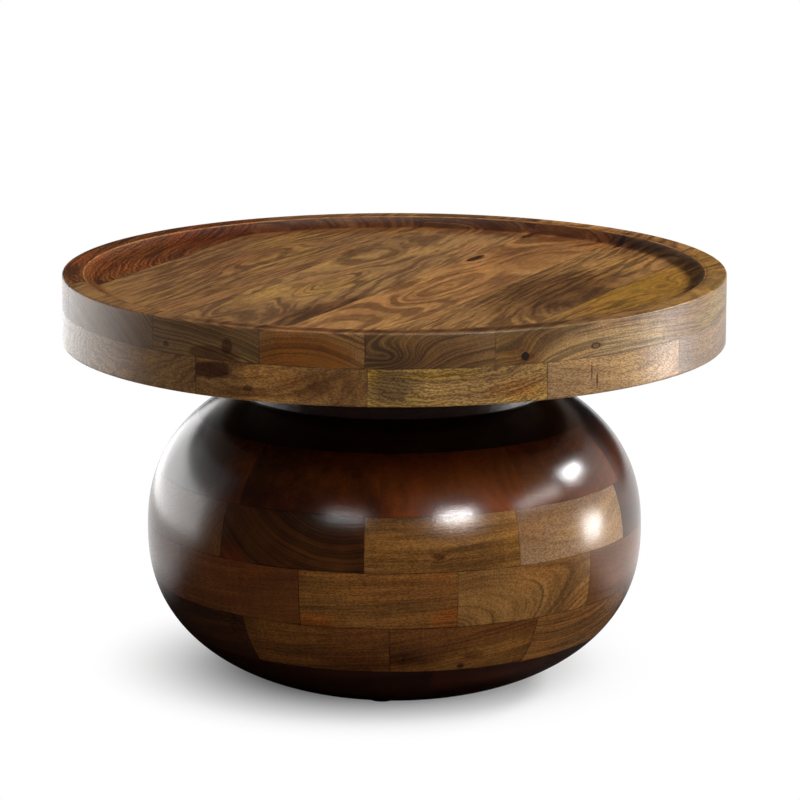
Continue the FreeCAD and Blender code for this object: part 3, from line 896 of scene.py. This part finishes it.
@dataclass(frozen=True)
class BlockCut:
    """How a wedge block was sawn: its finish, and where the pith lies from its middle.

    The turn is the angle of the pith's direction, 0 for inwards, where the rings meet the turned
    face flat, and 90 for downwards, where they cross it as level lines. The grain runs round the
    table, and climbs by the slope and turns outwards by the tilt. Aside moves the pith along it.
    """

    finish: WoodFinish
    depth: float = 0.12
    turn: float = 60.0
    slope: float = 0.05
    tilt: float = 0.0
    aside: float = 0.0

    def log_frame(self, centre: np.ndarray, azimuth: float, shift: float) -> LogFrame:
        """Where a block lay in its log.

        Args:
            centre: the block's middle.
            azimuth: degrees from the front to the block's middle.
            shift: its number, which sets its place along the log.

        Returns:
            The frame of the log, whose grain is level and square to the block's middle radius but
            for its slope and tilt.
        """
        out = outwards(azimuth)
        level = np.cross(UP, out)
        turn = math.radians(self.turn)
        pith = centre + self.aside * level - self.depth * (math.cos(turn) * out + math.sin(turn) * UP)
        grain = level + self.slope * UP + self.tilt * out
        return LogFrame(pith, grain, out, LOG_STEP * shift + self.depth)


@dataclass(frozen=True)
class WedgeSection:
    """Section of the wedge blocks of a ring or course, and how they are set out.

    The profile has the radius and height of each point, beside has each point's distance from the
    layers that it is glued to, core is the distance of a block's middle from the table's axis, and
    the angle is in degrees from one joint to the next.
    """

    profile: np.ndarray
    beside: np.ndarray
    core: float
    angle: float
    step: float

    def block(self, name: str, start: float, sawn: BlockCut, number: int) -> bpy.types.Object:
        """Make a block.

        Args:
            name: its name.
            start: degrees from the front to its first joint.
            sawn: how it was sawn.
            number: its number, which sets its place along the log.

        Returns:
            The new piece.
        """
        widest = float(self.profile[:, 0].max())
        inset = GLUE_INSET / widest
        first = math.radians(start - 90) + inset
        last = math.radians(start + self.angle - 90) - inset
        angles = spaced(first * widest, last * widest, self.step) / widest
        from_joint = np.minimum(angles - first, last - angles)[:, None] * widest
        edge = np.minimum(np.minimum(from_joint, self.beside[None, :]), CLOSE_ROWS[-1])
        middle = start + self.angle / 2
        centre = np.array(on_wall(middle, self.core, float(self.profile[:, 1].mean())))
        wood = sawn.log_frame(centre, middle, number)
        return loft(name, turned(self.profile, angles), edge, wood)


@dataclass
class RimRing:
    """Ring of wedge blocks under the planks, which makes the top's edge look twice as thick."""

    shop: WoodShop
    radius: float = TOP_RADIUS
    width: float = 0.090
    ease: float = 0.002
    first_joint: float = -4.3
    count: int = 12
    step: float = 0.005

    def section(self) -> WedgeSection:
        """Section of the blocks, which are glued to the layer above."""
        low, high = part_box("rim_block_01")
        bottom, top = low.z, high.z - GLUE_INSET
        turn = np.linspace(0, math.pi / 2, 6)
        eased_radius = self.radius - self.ease + self.ease * np.sin(turn)
        eased_level = bottom + self.ease - self.ease * np.cos(turn)
        rows = np.linspace(bottom + 2 * self.ease, top - CLOSE_ROWS[-1], 5)
        wall = np.concatenate((rows, top - CLOSE_ROWS[-2::-1]))
        inner = self.radius - self.width
        radius = np.concatenate(((inner,), eased_radius, np.full(len(wall), self.radius), (inner,)))
        level = np.concatenate(((bottom,), eased_level, wall, (top,)))
        profile = np.stack((radius, level), axis=-1)
        core = self.radius - self.width / 2
        return WedgeSection(profile, top - level, core, 360.0 / self.count, self.step)

    def build(self) -> int:
        """Make and dress the blocks.

        Returns:
            How many there are.
        """
        section = self.section()
        for index in range(self.count):
            sawn = RING_CUTS[index]
            start = self.first_joint + index * section.angle
            piece = section.block("rim_ring_block_%02d" % (index + 1), start, sawn, index)
            node = "rim_block_%02d" % (index + 1)
            fit(piece, node, self.shop.material(sawn.finish))
        return self.count


class Stain(Enum):
    """Finishes of the base's blocks, from the darkest to the palest."""

    # painted shade: the course under the neck is near black where the top shades it
    EBONY_SHADE = WoodFinish("ebony painted shade", (38, 14, 6), (20, 8, 3), (42, 15, 5), (34, 16, 6),
                       flecks=0.3, seam=0.4, specular=0.3)
    JACOBEAN = WoodFinish("stain jacobean", (62, 27, 13), (38, 17, 8), (68, 27, 11), (58, 30, 12),
                          flecks=0.3, seam=0.4, specular=0.3)
    WALNUT = WoodFinish("stain walnut", (66, 31, 13), (36, 16, 7), (74, 30, 10), (62, 36, 12), flecks=0.3)
    UMBER = WoodFinish("stain umber", (88, 42, 15), (54, 25, 9), (98, 40, 10), (82, 44, 14),
                       flecks=0.3, lines=0.15)
    RUSSET = WoodFinish("stain russet", (164, 82, 23), (106, 50, 13), (178, 84, 19), (150, 86, 21),
                        flecks=0.3, lines=0.15)
    COFFEE = WoodFinish("stain coffee", (92, 50, 22), (54, 28, 12), (102, 47, 16), (90, 56, 20), flecks=0.4)
    CINNAMON = WoodFinish("stain cinnamon", (134, 76, 32), (82, 44, 18), (142, 72, 24), (126, 78, 28),
                          flecks=0.5)
    CHESTNUT = WoodFinish("stain chestnut", (122, 74, 34), (74, 42, 18), (130, 70, 26), (120, 78, 30),
                          flecks=0.4)
    BRONZE = WoodFinish("stain bronze", (154, 104, 50), (96, 62, 28), (154, 92, 38), (152, 106, 44),
                        lines=0.45)
    HONEY = WoodFinish("stain honey", (176, 130, 74), (112, 78, 40), (170, 106, 44), (176, 132, 56),
                       lines=0.45)
    TAN = WoodFinish("stain tan", (180, 138, 92), (122, 88, 54), (176, 118, 68), (176, 134, 70),
                     lines=0.4)


# what the blocks that BASE_CUTS leaves out are drawn from, but for the courses at both ends
MIXED_STAINS = (
    Stain.UMBER, Stain.COFFEE, Stain.CINNAMON, Stain.CHESTNUT, Stain.BRONZE, Stain.HONEY, Stain.WALNUT,
)


@dataclass
class DrumBase:
    """Courses of wedge blocks turned to a squashed ball.

    The outline is two halves of a superellipse, one above the belly and one below. The ranges are
    those that a block's pith depth, turn and slope are drawn from.
    """

    shop: WoodShop
    belly_radius: float = 0.267
    belly_share: float = 0.525
    foot_radius: float = 0.115
    neck_radius: float = 0.169
    fullness: float = 2.32
    wall: float = 0.050
    joint_degrees: Numbers = (-26.0, -1.1, -21.7, -6.7, -3.2, 15.0)
    blocks: int = 10
    step: float = 0.006
    seed: int = 7
    cut_ranges: tuple[Numbers, ...] = ((0.06, 0.2), (0.0, 90.0), (-0.12, 0.12))

    def __post_init__(self) -> None:
        """Take the heights of the courses from the frame."""
        boxes = [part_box("base_course_%d" % (index + 1)) for index in range(len(self.joint_degrees))]
        self.levels = [boxes[0][0].z, *(box[1].z for box in boxes)]
        self.belly = self.levels[0] + self.belly_share * (self.levels[-1] - self.levels[0])

    def radius(self, level: np.ndarray) -> np.ndarray:
        """Outer radius at heights.

        With n as the fullness and t as the distance from the belly, scaled so that the outline
        ends at the foot's or the neck's radius, it is the belly's radius times the nth root of
        1 less t to the power n.

        Args:
            level: the heights.

        Returns:
            The radii.
        """
        low = level < self.belly
        end_radius = np.where(low, self.foot_radius, self.neck_radius)
        end_distance = np.where(low, self.belly - self.levels[0], self.levels[-1] - self.belly)
        end_share = (1 - (end_radius / self.belly_radius) ** self.fullness) ** (1 / self.fullness)
        share = np.abs(level - self.belly) / end_distance * end_share
        return self.belly_radius * (1 - share**self.fullness) ** (1 / self.fullness)

    def section(self, course: int) -> WedgeSection:
        """Section of a course's blocks, which are glued to the courses above and below.

        Args:
            course: its number, 0 at the foot.

        Returns:
            The section.
        """
        low = self.levels[course] + (GLUE_INSET if course else 0.0)
        high = self.levels[course + 1] - GLUE_INSET
        level = spaced(low, high, self.step / 2)
        outer = self.radius(level)
        bore = float(min(outer[0], outer[-1])) - self.wall
        radius = np.concatenate((outer, (bore, bore)))
        height = np.concatenate((level, (high, low)))
        profile = np.stack((radius, height), axis=-1)
        beside = np.minimum(height - low, high - height)
        return WedgeSection(profile, beside, float(radius.max()), 360.0 / self.blocks, self.step)

    def drawn(self, course: int, chance: np.random.Generator) -> BlockCut:
        """Draw how a block was sawn. The course at the foot has one stain, the one under the neck painted
        shade.

        Args:
            course: the number of its course, 0 at the foot.
            chance: where the numbers come from.

        Returns:
            The cut.
        """
        stain = {0: Stain.JACOBEAN, len(self.joint_degrees) - 1: Stain.EBONY_SHADE}.get(course)
        if stain is None:
            stain = MIXED_STAINS[chance.integers(len(MIXED_STAINS))]
        return BlockCut(stain.value, *(float(chance.uniform(*span)) for span in self.cut_ranges))

    def build(self) -> int:
        """Make and dress the blocks.

        Returns:
            How many there are.
        """
        chance = np.random.default_rng(self.seed)
        for course, first_joint in enumerate(self.joint_degrees):
            section = self.section(course)
            node = "base_course_%d" % (course + 1)
            for index in range(self.blocks):
                sawn = self.drawn(course, chance)
                sawn = BASE_CUTS.get((course + 1, index + 1), sawn)
                name = "base_block_c%d_%02d" % (course + 1, index + 1)
                start = first_joint + index * section.angle
                piece = section.block(name, start, sawn, self.blocks * course + index)
                fit(piece, node, self.shop.material(sawn.finish))
        return self.blocks * len(self.joint_degrees)


def marked(stain: Stain, name: str, *patches: Patch, **figure: float) -> WoodFinish:
    """A stain under another name, with marks of its own and some of its figure changed."""
    return replace(stain.value, name=name, patches=patches, **figure)


# a dark band that comes down the front of the shoulder
DARK_BAND = tuple(
    base_mark(azimuth, rise, 0.007, 0.010, (0.62, 0.56, 0.54), soft=0.8)
    for azimuth, rise in np.linspace((-11.5, 0.278), (-2.0, 0.238), 5).tolist()
)


def shadowed_shoulder(stain: Stain, name: str, *patches: Patch) -> WoodFinish:
    """A stain of the shoulder with a painted shadow of the top, darker towards the neck so that its joints
    hardly show.
    """
    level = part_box("base_course_5")[1].z + 0.010
    # painted shadow of the top: a dark ring round the shoulder just under the neck
    deep = Patch((0.0, 0.0, level), (0.5, 0.5, 0.027), (0.30, 0.22, 0.18), soft=0.6, ragged=0.3)
    return marked(stain, name, *patches, deep, seam=0.25)


BASE_CUTS = {
    (2, 1): BlockCut(marked(
        Stain.BRONZE, "block curly",
        base_mark(17.0, 0.069, 0.0045, 0.0035, (0.25, 0.20, 0.18)),
        base_mark(3.8, 0.079, 0.030, 0.010, (0.55, 0.46, 0.42), soft=0.6, ragged=0.9),
        base_mark(19.6, 0.083, 0.012, 0.005, (0.65, 0.58, 0.55), soft=0.5),
        light=(136, 82, 32), dark=(84, 48, 19), warp=0.04), turn=75.0, slope=0.15),
    (2, 2): BlockCut(marked(Stain.BRONZE, "block fine", tint=0.2, worm=0.9), turn=30.0, slope=0.25),
    (2, 9): BlockCut(marked(Stain.COFFEE, "block dark left", light=(82, 44, 21), dark=(48, 25, 12))),
    (2, 10): BlockCut(marked(
        Stain.CINNAMON, "block half gold",
        base_mark(-26.0, 0.105, 0.040, 0.012, (1.30, 1.35, 1.20), soft=0.6),
        base_mark(-8.3, 0.074, 0.050, 0.012, (0.55, 0.48, 0.45), soft=0.6, ragged=0.9),
        light=(150, 92, 38), dark=(94, 56, 22), flecks=0.7, lines=0.4, warp=0.03), turn=70.0),
    (3, 1): BlockCut(marked(
        Stain.BRONZE, "block speckled",
        base_mark(-18.8, 0.122, 0.026, 0.009, (1.25, 0.88, 0.50), soft=0.6),
        base_mark(12.6, 0.129, 0.018, 0.010, (1.20, 0.90, 0.55), soft=0.6),
        light=(166, 106, 44), dark=(108, 68, 28), rings=0.2, streaks=0.3, tint=0.2), turn=85.0),
    (3, 2): BlockCut(marked(
        Stain.HONEY, "block flame",
        base_mark(18.2, 0.165, 0.022, 0.010, (0.72, 0.66, 0.68), soft=0.6),
        light=(166, 118, 60), dark=(98, 66, 32),
        rings=0.9, spacing=0.003, warp=0.006, worm=0.3, tint=0.2),
        depth=0.05, turn=0.0, slope=0.42, tilt=-0.27),
    (3, 3): BlockCut(marked(Stain.CHESTNUT, "block plain", rings=0.15, streaks=0.2, lines=0.15)),
    (3, 9): BlockCut(marked(
        Stain.CINNAMON, "block smooth left", light=(150, 88, 44), dark=(100, 58, 28), lines=0.15), turn=40.0),
    (3, 10): BlockCut(marked(
        Stain.CINNAMON, "block smooth", lines=0.15, rings=0.15, streaks=0.25), turn=70.0),
    (4, 1): BlockCut(marked(
        Stain.HONEY, "block banded", base_mark(10.2, 0.193, 0.007, 0.005, (0.66, 0.60, 0.56), bulge=0.006),
        light=(174, 120, 58), dark=(112, 74, 32),
        rings=0.25, spacing=0.009, streaks=0.65, worm=0.3, tint=0.15), turn=85.0, slope=0.02),
    (4, 2): BlockCut(marked(
        Stain.TAN, "block tan",
        light=(174, 138, 102), rings=0.15, streaks=0.2, lines=0.2, worm=0.2), turn=40.0),
    (4, 3): BlockCut(marked(
        Stain.COFFEE, "block plain right", rings=0.15, streaks=0.25, lines=0.15), turn=40.0),
    (4, 9): BlockCut(marked(
        Stain.CINNAMON, "block sheen", light=(140, 84, 36), dark=(92, 56, 24)), turn=20.0),
    (4, 10): BlockCut(marked(
        Stain.COFFEE, "block arched",
        base_mark(-39.2, 0.180, 0.016, 0.014, (1.6, 1.05, 0.8), soft=0.6),
        light=(96, 52, 20), dark=(50, 26, 11), rings=0.75, lines=0.4, flecks=0.3),
        depth=0.11, turn=-90.0, tilt=3.0, aside=0.06),
    (5, 1): BlockCut(shadowed_shoulder(
        Stain.RUSSET, "shoulder ember",
        base_mark(5.0, 0.268, 0.040, 0.014, (1.25, 1.10, 0.85), soft=0.7, ragged=0.9),
        *DARK_BAND), turn=30.0),
    (5, 2): BlockCut(shadowed_shoulder(
        Stain.RUSSET, "shoulder brown",
        base_mark(52.0, 0.262, 0.120, 0.050, (0.42, 0.48, 0.80), soft=0.7, ragged=0.8)), turn=50.0),
    (5, 3): BlockCut(shadowed_shoulder(Stain.UMBER, "shoulder umber")),
    (5, 9): BlockCut(shadowed_shoulder(
        Stain.RUSSET, "shoulder left",
        base_mark(-64.0, 0.262, 0.140, 0.060, (0.22, 0.21, 0.28), soft=0.5, ragged=0.5)), turn=40.0),
    (5, 10): BlockCut(shadowed_shoulder(
        Stain.RUSSET, "shoulder banded",
        base_mark(-36.0, 0.262, 0.140, 0.060, (0.16, 0.15, 0.22), soft=0.8, ragged=0.7),
        *DARK_BAND), turn=30.0),
}
# the rest of the shoulder is dark too, under the same painted shadow
BASE_CUTS |= {
    (5, index): BlockCut(shadowed_shoulder(Stain.UMBER if index % 2 else Stain.COFFEE, "shoulder back %d" % index))
    for index in range(4, 9)
}


def rim_wood(name: str, *colours: Colour, **figure: Any) -> WoodFinish:
    """Finish of a rim block: its four colours, and what differs from the figure of most."""
    return WoodFinish(name, *colours, **{"flecks": 0.8, "roughness": 0.34} | figure)


RING_TAN = rim_wood("ring tan", (176, 132, 80), (94, 64, 36), (158, 100, 52), (168, 126, 56))
RING_PINK = rim_wood("ring pink", (196, 154, 104), (132, 98, 60), (188, 136, 92), (186, 148, 86))
RING_GREY = rim_wood("ring grey", (148, 118, 88), (100, 76, 52), (140, 106, 76), (146, 116, 76))
RING_RUSTY = rim_wood("ring rusty", (188, 136, 76), (114, 80, 44), (172, 112, 58), (178, 134, 66),
                      worm=1.0)
RING_WAVY = rim_wood("ring wavy", (224, 178, 100), (140, 102, 52), (196, 136, 64), (212, 170, 56),
                     worm=1.0, flecks=1.0, warp=0.03, patches=(
    rim_mark(7.4, 0.043, 0.034, 0.004, (1.02, 1.04, 0.50), soft=0.6),
    rim_mark(-3.0, 0.042, 0.012, 0.006, (0.98, 0.95, 0.50), soft=0.6),
    rim_mark(-0.6, 0.056, 0.027, 0.018, (0.36, 0.34, 0.42), soft=0.6),
    rim_mark(20.5, 0.061, 0.026, 0.009, (1.00, 0.76, 0.45), soft=0.6, ragged=0.9),
))
RING_CRACKED = replace(RING_PINK, name="ring cracked", patches=(
    rim_mark(35.3, 0.060, 0.0010, 0.006, (0.25, 0.18, 0.15), ragged=1.2),
    rim_mark(34.2, 0.050, 0.0008, 0.009, (0.35, 0.28, 0.25), ragged=1.2),
))
RING_MOTTLED = replace(RING_TAN, name="ring mottled", light=(204, 152, 84), dark=(118, 80, 40),
                       warp=0.045, patches=(
    rim_mark(-20.5, 0.056, 0.034, 0.022, (1.60, 1.58, 1.35), soft=0.5),
    rim_mark(-31.6, 0.047, 0.026, 0.009, (0.26, 0.17, 0.14), soft=0.25, ragged=0.9),
    rim_mark(-25.0, 0.066, 0.024, 0.005, (0.60, 0.50, 0.45), soft=0.5, ragged=1.0),
    rim_mark(-24.4, 0.062, 0.005, 0.003, (0.40, 0.32, 0.28)),
    rim_mark(-11.0, 0.054, 0.040, 0.016, (0.80, 0.68, 0.54), soft=0.7, ragged=1.0),
))

RING_CUTS = (
    BlockCut(RING_WAVY, 0.07, 70.0, 0.1),
    BlockCut(RING_CRACKED, 0.10, 35.0),
    BlockCut(RING_GREY, 0.10, 60.0),
    BlockCut(RING_RUSTY, 0.10, 30.0),
    BlockCut(RING_TAN, 0.12, 70.0),
    BlockCut(RING_PINK, 0.09, 10.0),
    BlockCut(RING_RUSTY, 0.11, 80.0),
    BlockCut(RING_TAN, 0.08, 25.0),
    BlockCut(RING_GREY, 0.10, 40.0),
    BlockCut(RING_RUSTY, 0.12, 15.0),
    BlockCut(RING_RUSTY, 0.08, 20.0),
    BlockCut(RING_MOTTLED, 0.09, 30.0, 0.25),
)


NECK_FINISH = WoodFinish("neck dark", (60, 29, 15), (40, 20, 10), (64, 29, 14), (60, 33, 15),
                         flecks=0.3, roughness=0.24, specular=1.0, bump=0.8)


@dataclass
class NeckCollar:
    """Dark turned collar between the base and the top, sawn from a log whose pith runs below it."""

    shop: WoodShop
    radius: float = 0.169
    wall: float = 0.036
    ease: float = 0.0015
    count: int = 128
    pith_drop: float = 0.1
    grain: Numbers = (1.0, 0.2, 0.1)
    shift: float = 3.0

    def build(self) -> int:
        """Make and dress the collar, a profile turned right round.

        Returns:
            1, for one piece.
        """
        low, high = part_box("neck_collar")
        turn = np.linspace(0, math.pi / 2, 5)
        radius = self.radius - self.ease * (1 - np.sin(turn))
        foot = np.stack((radius, low.z + self.ease * (1 - np.cos(turn))), axis=-1)
        head = np.stack((foot[::-1, 0], low.z + high.z - foot[::-1, 1]), axis=-1)
        inner = self.radius - self.wall
        profile = np.concatenate((foot, head, ((inner, high.z), (inner, low.z))))
        angles = np.linspace(0, 2 * math.pi, self.count + 1)
        sections = turned(profile, angles)
        edge = np.full(sections.shape[:2], CLOSE_ROWS[-1])
        wood = LogFrame((low.z - self.pith_drop) * UP, np.array(self.grain), UP, self.shift)
        material = self.shop.material(NECK_FINISH)
        fit(ring(sections, edge, wood), "neck_collar", material)
        return 1


def ring(sections: np.ndarray, edge: np.ndarray, wood: LogFrame) -> bpy.types.Object:
    """Loft whose last loop meets its first, so its two end faces come off."""
    piece = loft("neck_turning", sections, edge, wood)
    shell = bmesh.new()
    shell.from_mesh(piece.data)
    caps = [face for face in shell.faces if len(face.verts) > 4]
    bmesh.ops.delete(shell, geom=caps, context="FACES")
    bmesh.ops.recalc_face_normals(shell, faces=shell.faces)
    shell.to_mesh(piece.data)
    shell.free()
    return piece


@dataclass(frozen=True)
class PlainFinish:
    """Finish of a hidden fitting: two colours, how metallic and rough it is, and its grain."""

    name: str
    light: Colour
    dark: Colour
    metallic: float
    roughness: float
    grain: Numbers

    def material(self) -> bpy.types.Material:
        """Material of noise between the two colours, which also moves roughness and height."""
        material, graph = new_material(self.name)
        place = graph.node("TexCoord").outputs["Object"]
        share = graph.step(graph.noise(place, self.grain, 3.0), 0.3, 0.7)
        colour = graph.mix(share, srgb(*self.light), srgb(*self.dark))
        rough = graph.math("MULTIPLY_ADD", share, 0.12, self.roughness)
        feeds = {"Base Color": colour, "Roughness": rough, "Metallic": self.metallic}
        graph.surface(share, 0.25, 0.0002, feeds)
        return material


@dataclass
class Fittings:
    """The hidden pieces that hold the table together. Their shapes are the frame's own."""

    def build(self) -> int:
        """Dress each fitting by its kind.

        Returns:
            How many nodes were dressed.
        """
        machined = (900.0, 900.0, 300.0)
        steel = PlainFinish("zinc steel", (176, 178, 180), (120, 122, 126), 1.0, 0.34, machined)
        brass = PlainFinish("insert brass", (196, 160, 88), (140, 106, 50), 1.0, 0.32, machined)
        beech = PlainFinish("beech dowel", (202, 164, 118), (168, 124, 80), 0.0, 0.6, (700.0, 700.0, 60.0))
        ply = PlainFinish("birch plywood", (206, 176, 132), (160, 122, 82), 0.0, 0.6, (60.0, 400.0, 700.0))
        felt = PlainFinish("black felt", (44, 42, 40), (22, 21, 20), 0.0, 0.95, (1500.0, 1500.0, 1500.0))
        kinds = {
            steel: ("cover_screws", "neck_screws", "board_screws", "top_bolts",
                    "neck_screw_washers", "top_bolt_washers"),
            brass: ("threaded_inserts",),
            beech: ("plank_tongues", "rim_block_dowels", "course_dowels"),
            ply: ("base_cover", "mounting_board"),
            felt: ("foot_pads",),
        }
        for finish, names in kinds.items():
            material = finish.material()
            for name in names:
                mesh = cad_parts[name].data
                mesh.materials.clear()
                mesh.materials.append(material)
        return sum(len(names) for names in kinds.values())


@dataclass(frozen=True)
class Lamp:
    """Soft box that faces a point of the table.

    Its azimuth, elevation and distance are its place as seen from that point, and a brightness of
    1 is white.
    """

    name: str
    target: Numbers
    azimuth: float
    elevation: float
    distance: float
    width: float
    height: float
    brightness: float
    diffuse: bool = True
    glossy: bool = True

    def build(self) -> None:
        """Make the lamp. Its power is its brightness times pi times its area."""
        data = bpy.data.lights.new(self.name, "AREA")
        data.shape = "RECTANGLE"
        data.size, data.size_y = self.width, self.height
        data.energy = self.brightness * math.pi * self.width * self.height
        lamp = bpy.data.objects.new(self.name, data)
        bpy.context.scene.collection.objects.link(lamp)
        rise = math.radians(self.elevation)
        way = Vector(outwards(self.azimuth)) * math.cos(rise) + Vector(UP) * math.sin(rise)
        lamp.location = Vector(self.target) + way * self.distance
        lamp.rotation_euler = way.to_track_quat("Z", "Y").to_euler()
        lamp.visible_camera = False
        lamp.visible_diffuse = self.diffuse
        lamp.visible_glossy = self.glossy


@dataclass
class Studio:
    """White floor, soft light and the camera."""

    floor_radius: float = 14.0
    shadow_centre: Numbers = (-0.018, 0.06, 0.0)
    shadow_reach: Numbers = (0.10, 0.325)
    focal_length: float = 202.5
    sensor: float = 36.0
    camera_place: Numbers = (0.00604, -4.7443)
    camera_rise: float = 0.876
    camera_tilt: float = 12.13
    camera_reach: float = 100.0
    ambient: float = 0.10
    glossy_ambient: float = 0.02
    paint: float = 0.5
    paint_in_camera: float = 1.0
    paint_in_gloss: float = 0.04

    def lamps(self) -> tuple[Lamp, ...]:
        """The soft boxes, by their place round the table."""
        middle = (0.0, 0.0, 0.25)
        front = (0.075, -0.255, 0.244)
        beside = (-0.045, -0.262, 0.244)
        shoulder = (0.200, -0.130, 0.266)
        flank = (0.213, -0.155, 0.208)
        aside = (0.141, -0.199, 0.256)
        return (
            Lamp("overhead soft box", middle, 20.0, 78.0, 2.0, 1.6, 1.6, 1.3),
            Lamp("rear overhead box", middle, 170.0, 62.0, 2.0, 1.6, 1.2, 2.0, glossy=False),
            Lamp("front soft box", middle, 35.0, 45.0, 2.3, 1.2, 0.7, 7.0, glossy=False),
            Lamp("key highlight box", front, 32.0, 30.0, 2.3, 0.62, 0.28, 60.0, diffuse=False),
            Lamp("side highlight box", aside, 80.0, 28.0, 2.0, 1.0, 0.2, 9.0, diffuse=False),
            Lamp("lesser highlight box", beside, -25.0, 31.0, 2.3, 0.7, 0.3, 6.5, diffuse=False),
            Lamp("right upper box", shoulder, 112.0, 32.5, 1.8, 0.42, 0.42, 40.0),
            Lamp("right lower box", flank, 104.0, -1.0, 1.4, 0.32, 0.28, 20.0),
            Lamp("left rear panel", middle, -128.0, 1.0, 1.6, 2.0, 0.8, 2.5, diffuse=False),
        )

    def floor(self) -> None:
        """White disc that keeps the table's shadow.

        Away from the base it shows plain white to the camera, and in reflections beside and
        behind the table. Under the base it is lit matt paint, where the shadow falls, and the two
        mix over a wide ring. The paint is white to the camera, nearly black in reflections and
        grey to other light.
        """
        bpy.ops.mesh.primitive_circle_add(vertices=128, radius=self.floor_radius, fill_type="NGON")
        disc = bpy.context.object
        disc.name = "floor"
        material, graph = new_material("white floor")
        path = graph.node("LightPath").outputs
        place = graph.node("TexCoord").outputs["Object"]
        centred = graph.vector("SUBTRACT", place, self.shadow_centre)
        away = graph.length(centred)
        near, far = self.shadow_reach
        clear = graph.step(away, near, far)
        offset = graph.node("SeparateXYZ", {0: centred}).outputs
        back = graph.math("DIVIDE", graph.math("MULTIPLY_ADD", offset["X"], 0.1, offset["Y"]), away)
        aside = graph.math("MULTIPLY", graph.step(back, -0.2, 0.2), graph.step(away, 0.3, 0.6))
        seen = graph.math("MAXIMUM", path["Is Camera Ray"], path["Is Transmission Ray"])
        seen = graph.math("MAXIMUM", seen, graph.math("MULTIPLY", path["Is Glossy Ray"], aside))
        more = self.paint_in_camera - self.paint
        less = self.paint_in_gloss - self.paint
        paint = graph.math("MULTIPLY_ADD", path["Is Camera Ray"], more, self.paint)
        paint = graph.math("MULTIPLY_ADD", path["Is Glossy Ray"], less, paint)
        grey = graph.node("CombineXYZ", {0: paint, 1: paint, 2: paint}).outputs[0]
        matt = graph.node("BsdfDiffuse", {"Color": grey}).outputs[0]
        glow = graph.node("Emission", {"Color": WHITE, "Strength": 1.0}).outputs[0]
        share = graph.math("MULTIPLY", seen, clear)
        both = graph.node("MixShader", {0: share, 1: matt, 2: glow})
        graph.node("OutputMaterial", {"Surface": both.outputs[0]})
        disc.data.materials.append(material)

    def world(self) -> None:
        """Dim surroundings, white to the camera, and in reflections beside and behind the table."""
        world = bpy.data.worlds.new("studio")
        bpy.context.scene.world = world
        world.use_nodes = True
        graph = Graph(world.node_tree)
        path = graph.node("LightPath").outputs
        way = graph.node("SeparateXYZ", {0: graph.node("TexCoord").outputs["Generated"]}).outputs
        past = graph.step(way["Y"], 0.65, 0.85, 1.0, 0.0)
        beside = graph.math("MULTIPLY", graph.step(way["Y"], 0.0, 0.2), past)
        beside = graph.math("MULTIPLY", beside, graph.step(way["Z"], 0.1, 0.75, 1.0, 0.0))
        shown = graph.math("MAXIMUM", path["Is Camera Ray"], path["Is Transmission Ray"])
        seen = graph.math("MAXIMUM", shown, graph.math("MULTIPLY", path["Is Glossy Ray"], beside))
        dim = self.glossy_ambient - self.ambient
        base = graph.math("MULTIPLY_ADD", path["Is Glossy Ray"], dim, self.ambient)
        strength = graph.math("MAXIMUM", seen, base)
        back = graph.node("Background", {"Color": WHITE, "Strength": strength})
        graph.node("OutputWorld", {"Surface": back.outputs[0]})

    def camera(self) -> None:
        """Camera at the photograph's angle, 12 degrees above level, with a long lens."""
        data = bpy.data.cameras.new("camera")
        data.lens, data.sensor_width = self.focal_length, self.sensor
        data.clip_end = self.camera_reach
        camera = bpy.data.objects.new("camera", data)
        bpy.context.scene.collection.objects.link(camera)
        camera.location = (*self.camera_place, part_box("top_plank_3")[1].z + self.camera_rise)
        camera.rotation_euler = (math.radians(90.0 - self.camera_tilt), 0.0, 0.0)
        bpy.context.scene.camera = camera

    def build(self) -> int:
        """Set up the floor, the lamps, the world and the camera.

        Returns:
            How many lamps there are.
        """
        self.floor()
        self.world()
        self.camera()
        for lamp in self.lamps():
            lamp.build()
        bpy.context.scene.view_settings.view_transform = "Standard"
        return len(self.lamps())


def main() -> None:
    """Build the table and the studio in order, and report each."""
    logging.basicConfig(level=logging.INFO, format="%(message)s")
    shop = WoodShop()
    log.info("planks of the tray: %d", TrayTop(shop).build())
    log.info("blocks of the rim ring: %d", RimRing(shop).build())
    log.info("blocks of the base: %d", DrumBase(shop).build())
    log.info("neck: %d", NeckCollar(shop).build())
    log.info("fittings dressed: %d", Fittings().build())
    log.info("lamps: %d", Studio().build())


if __name__ == "__main__":
    main()
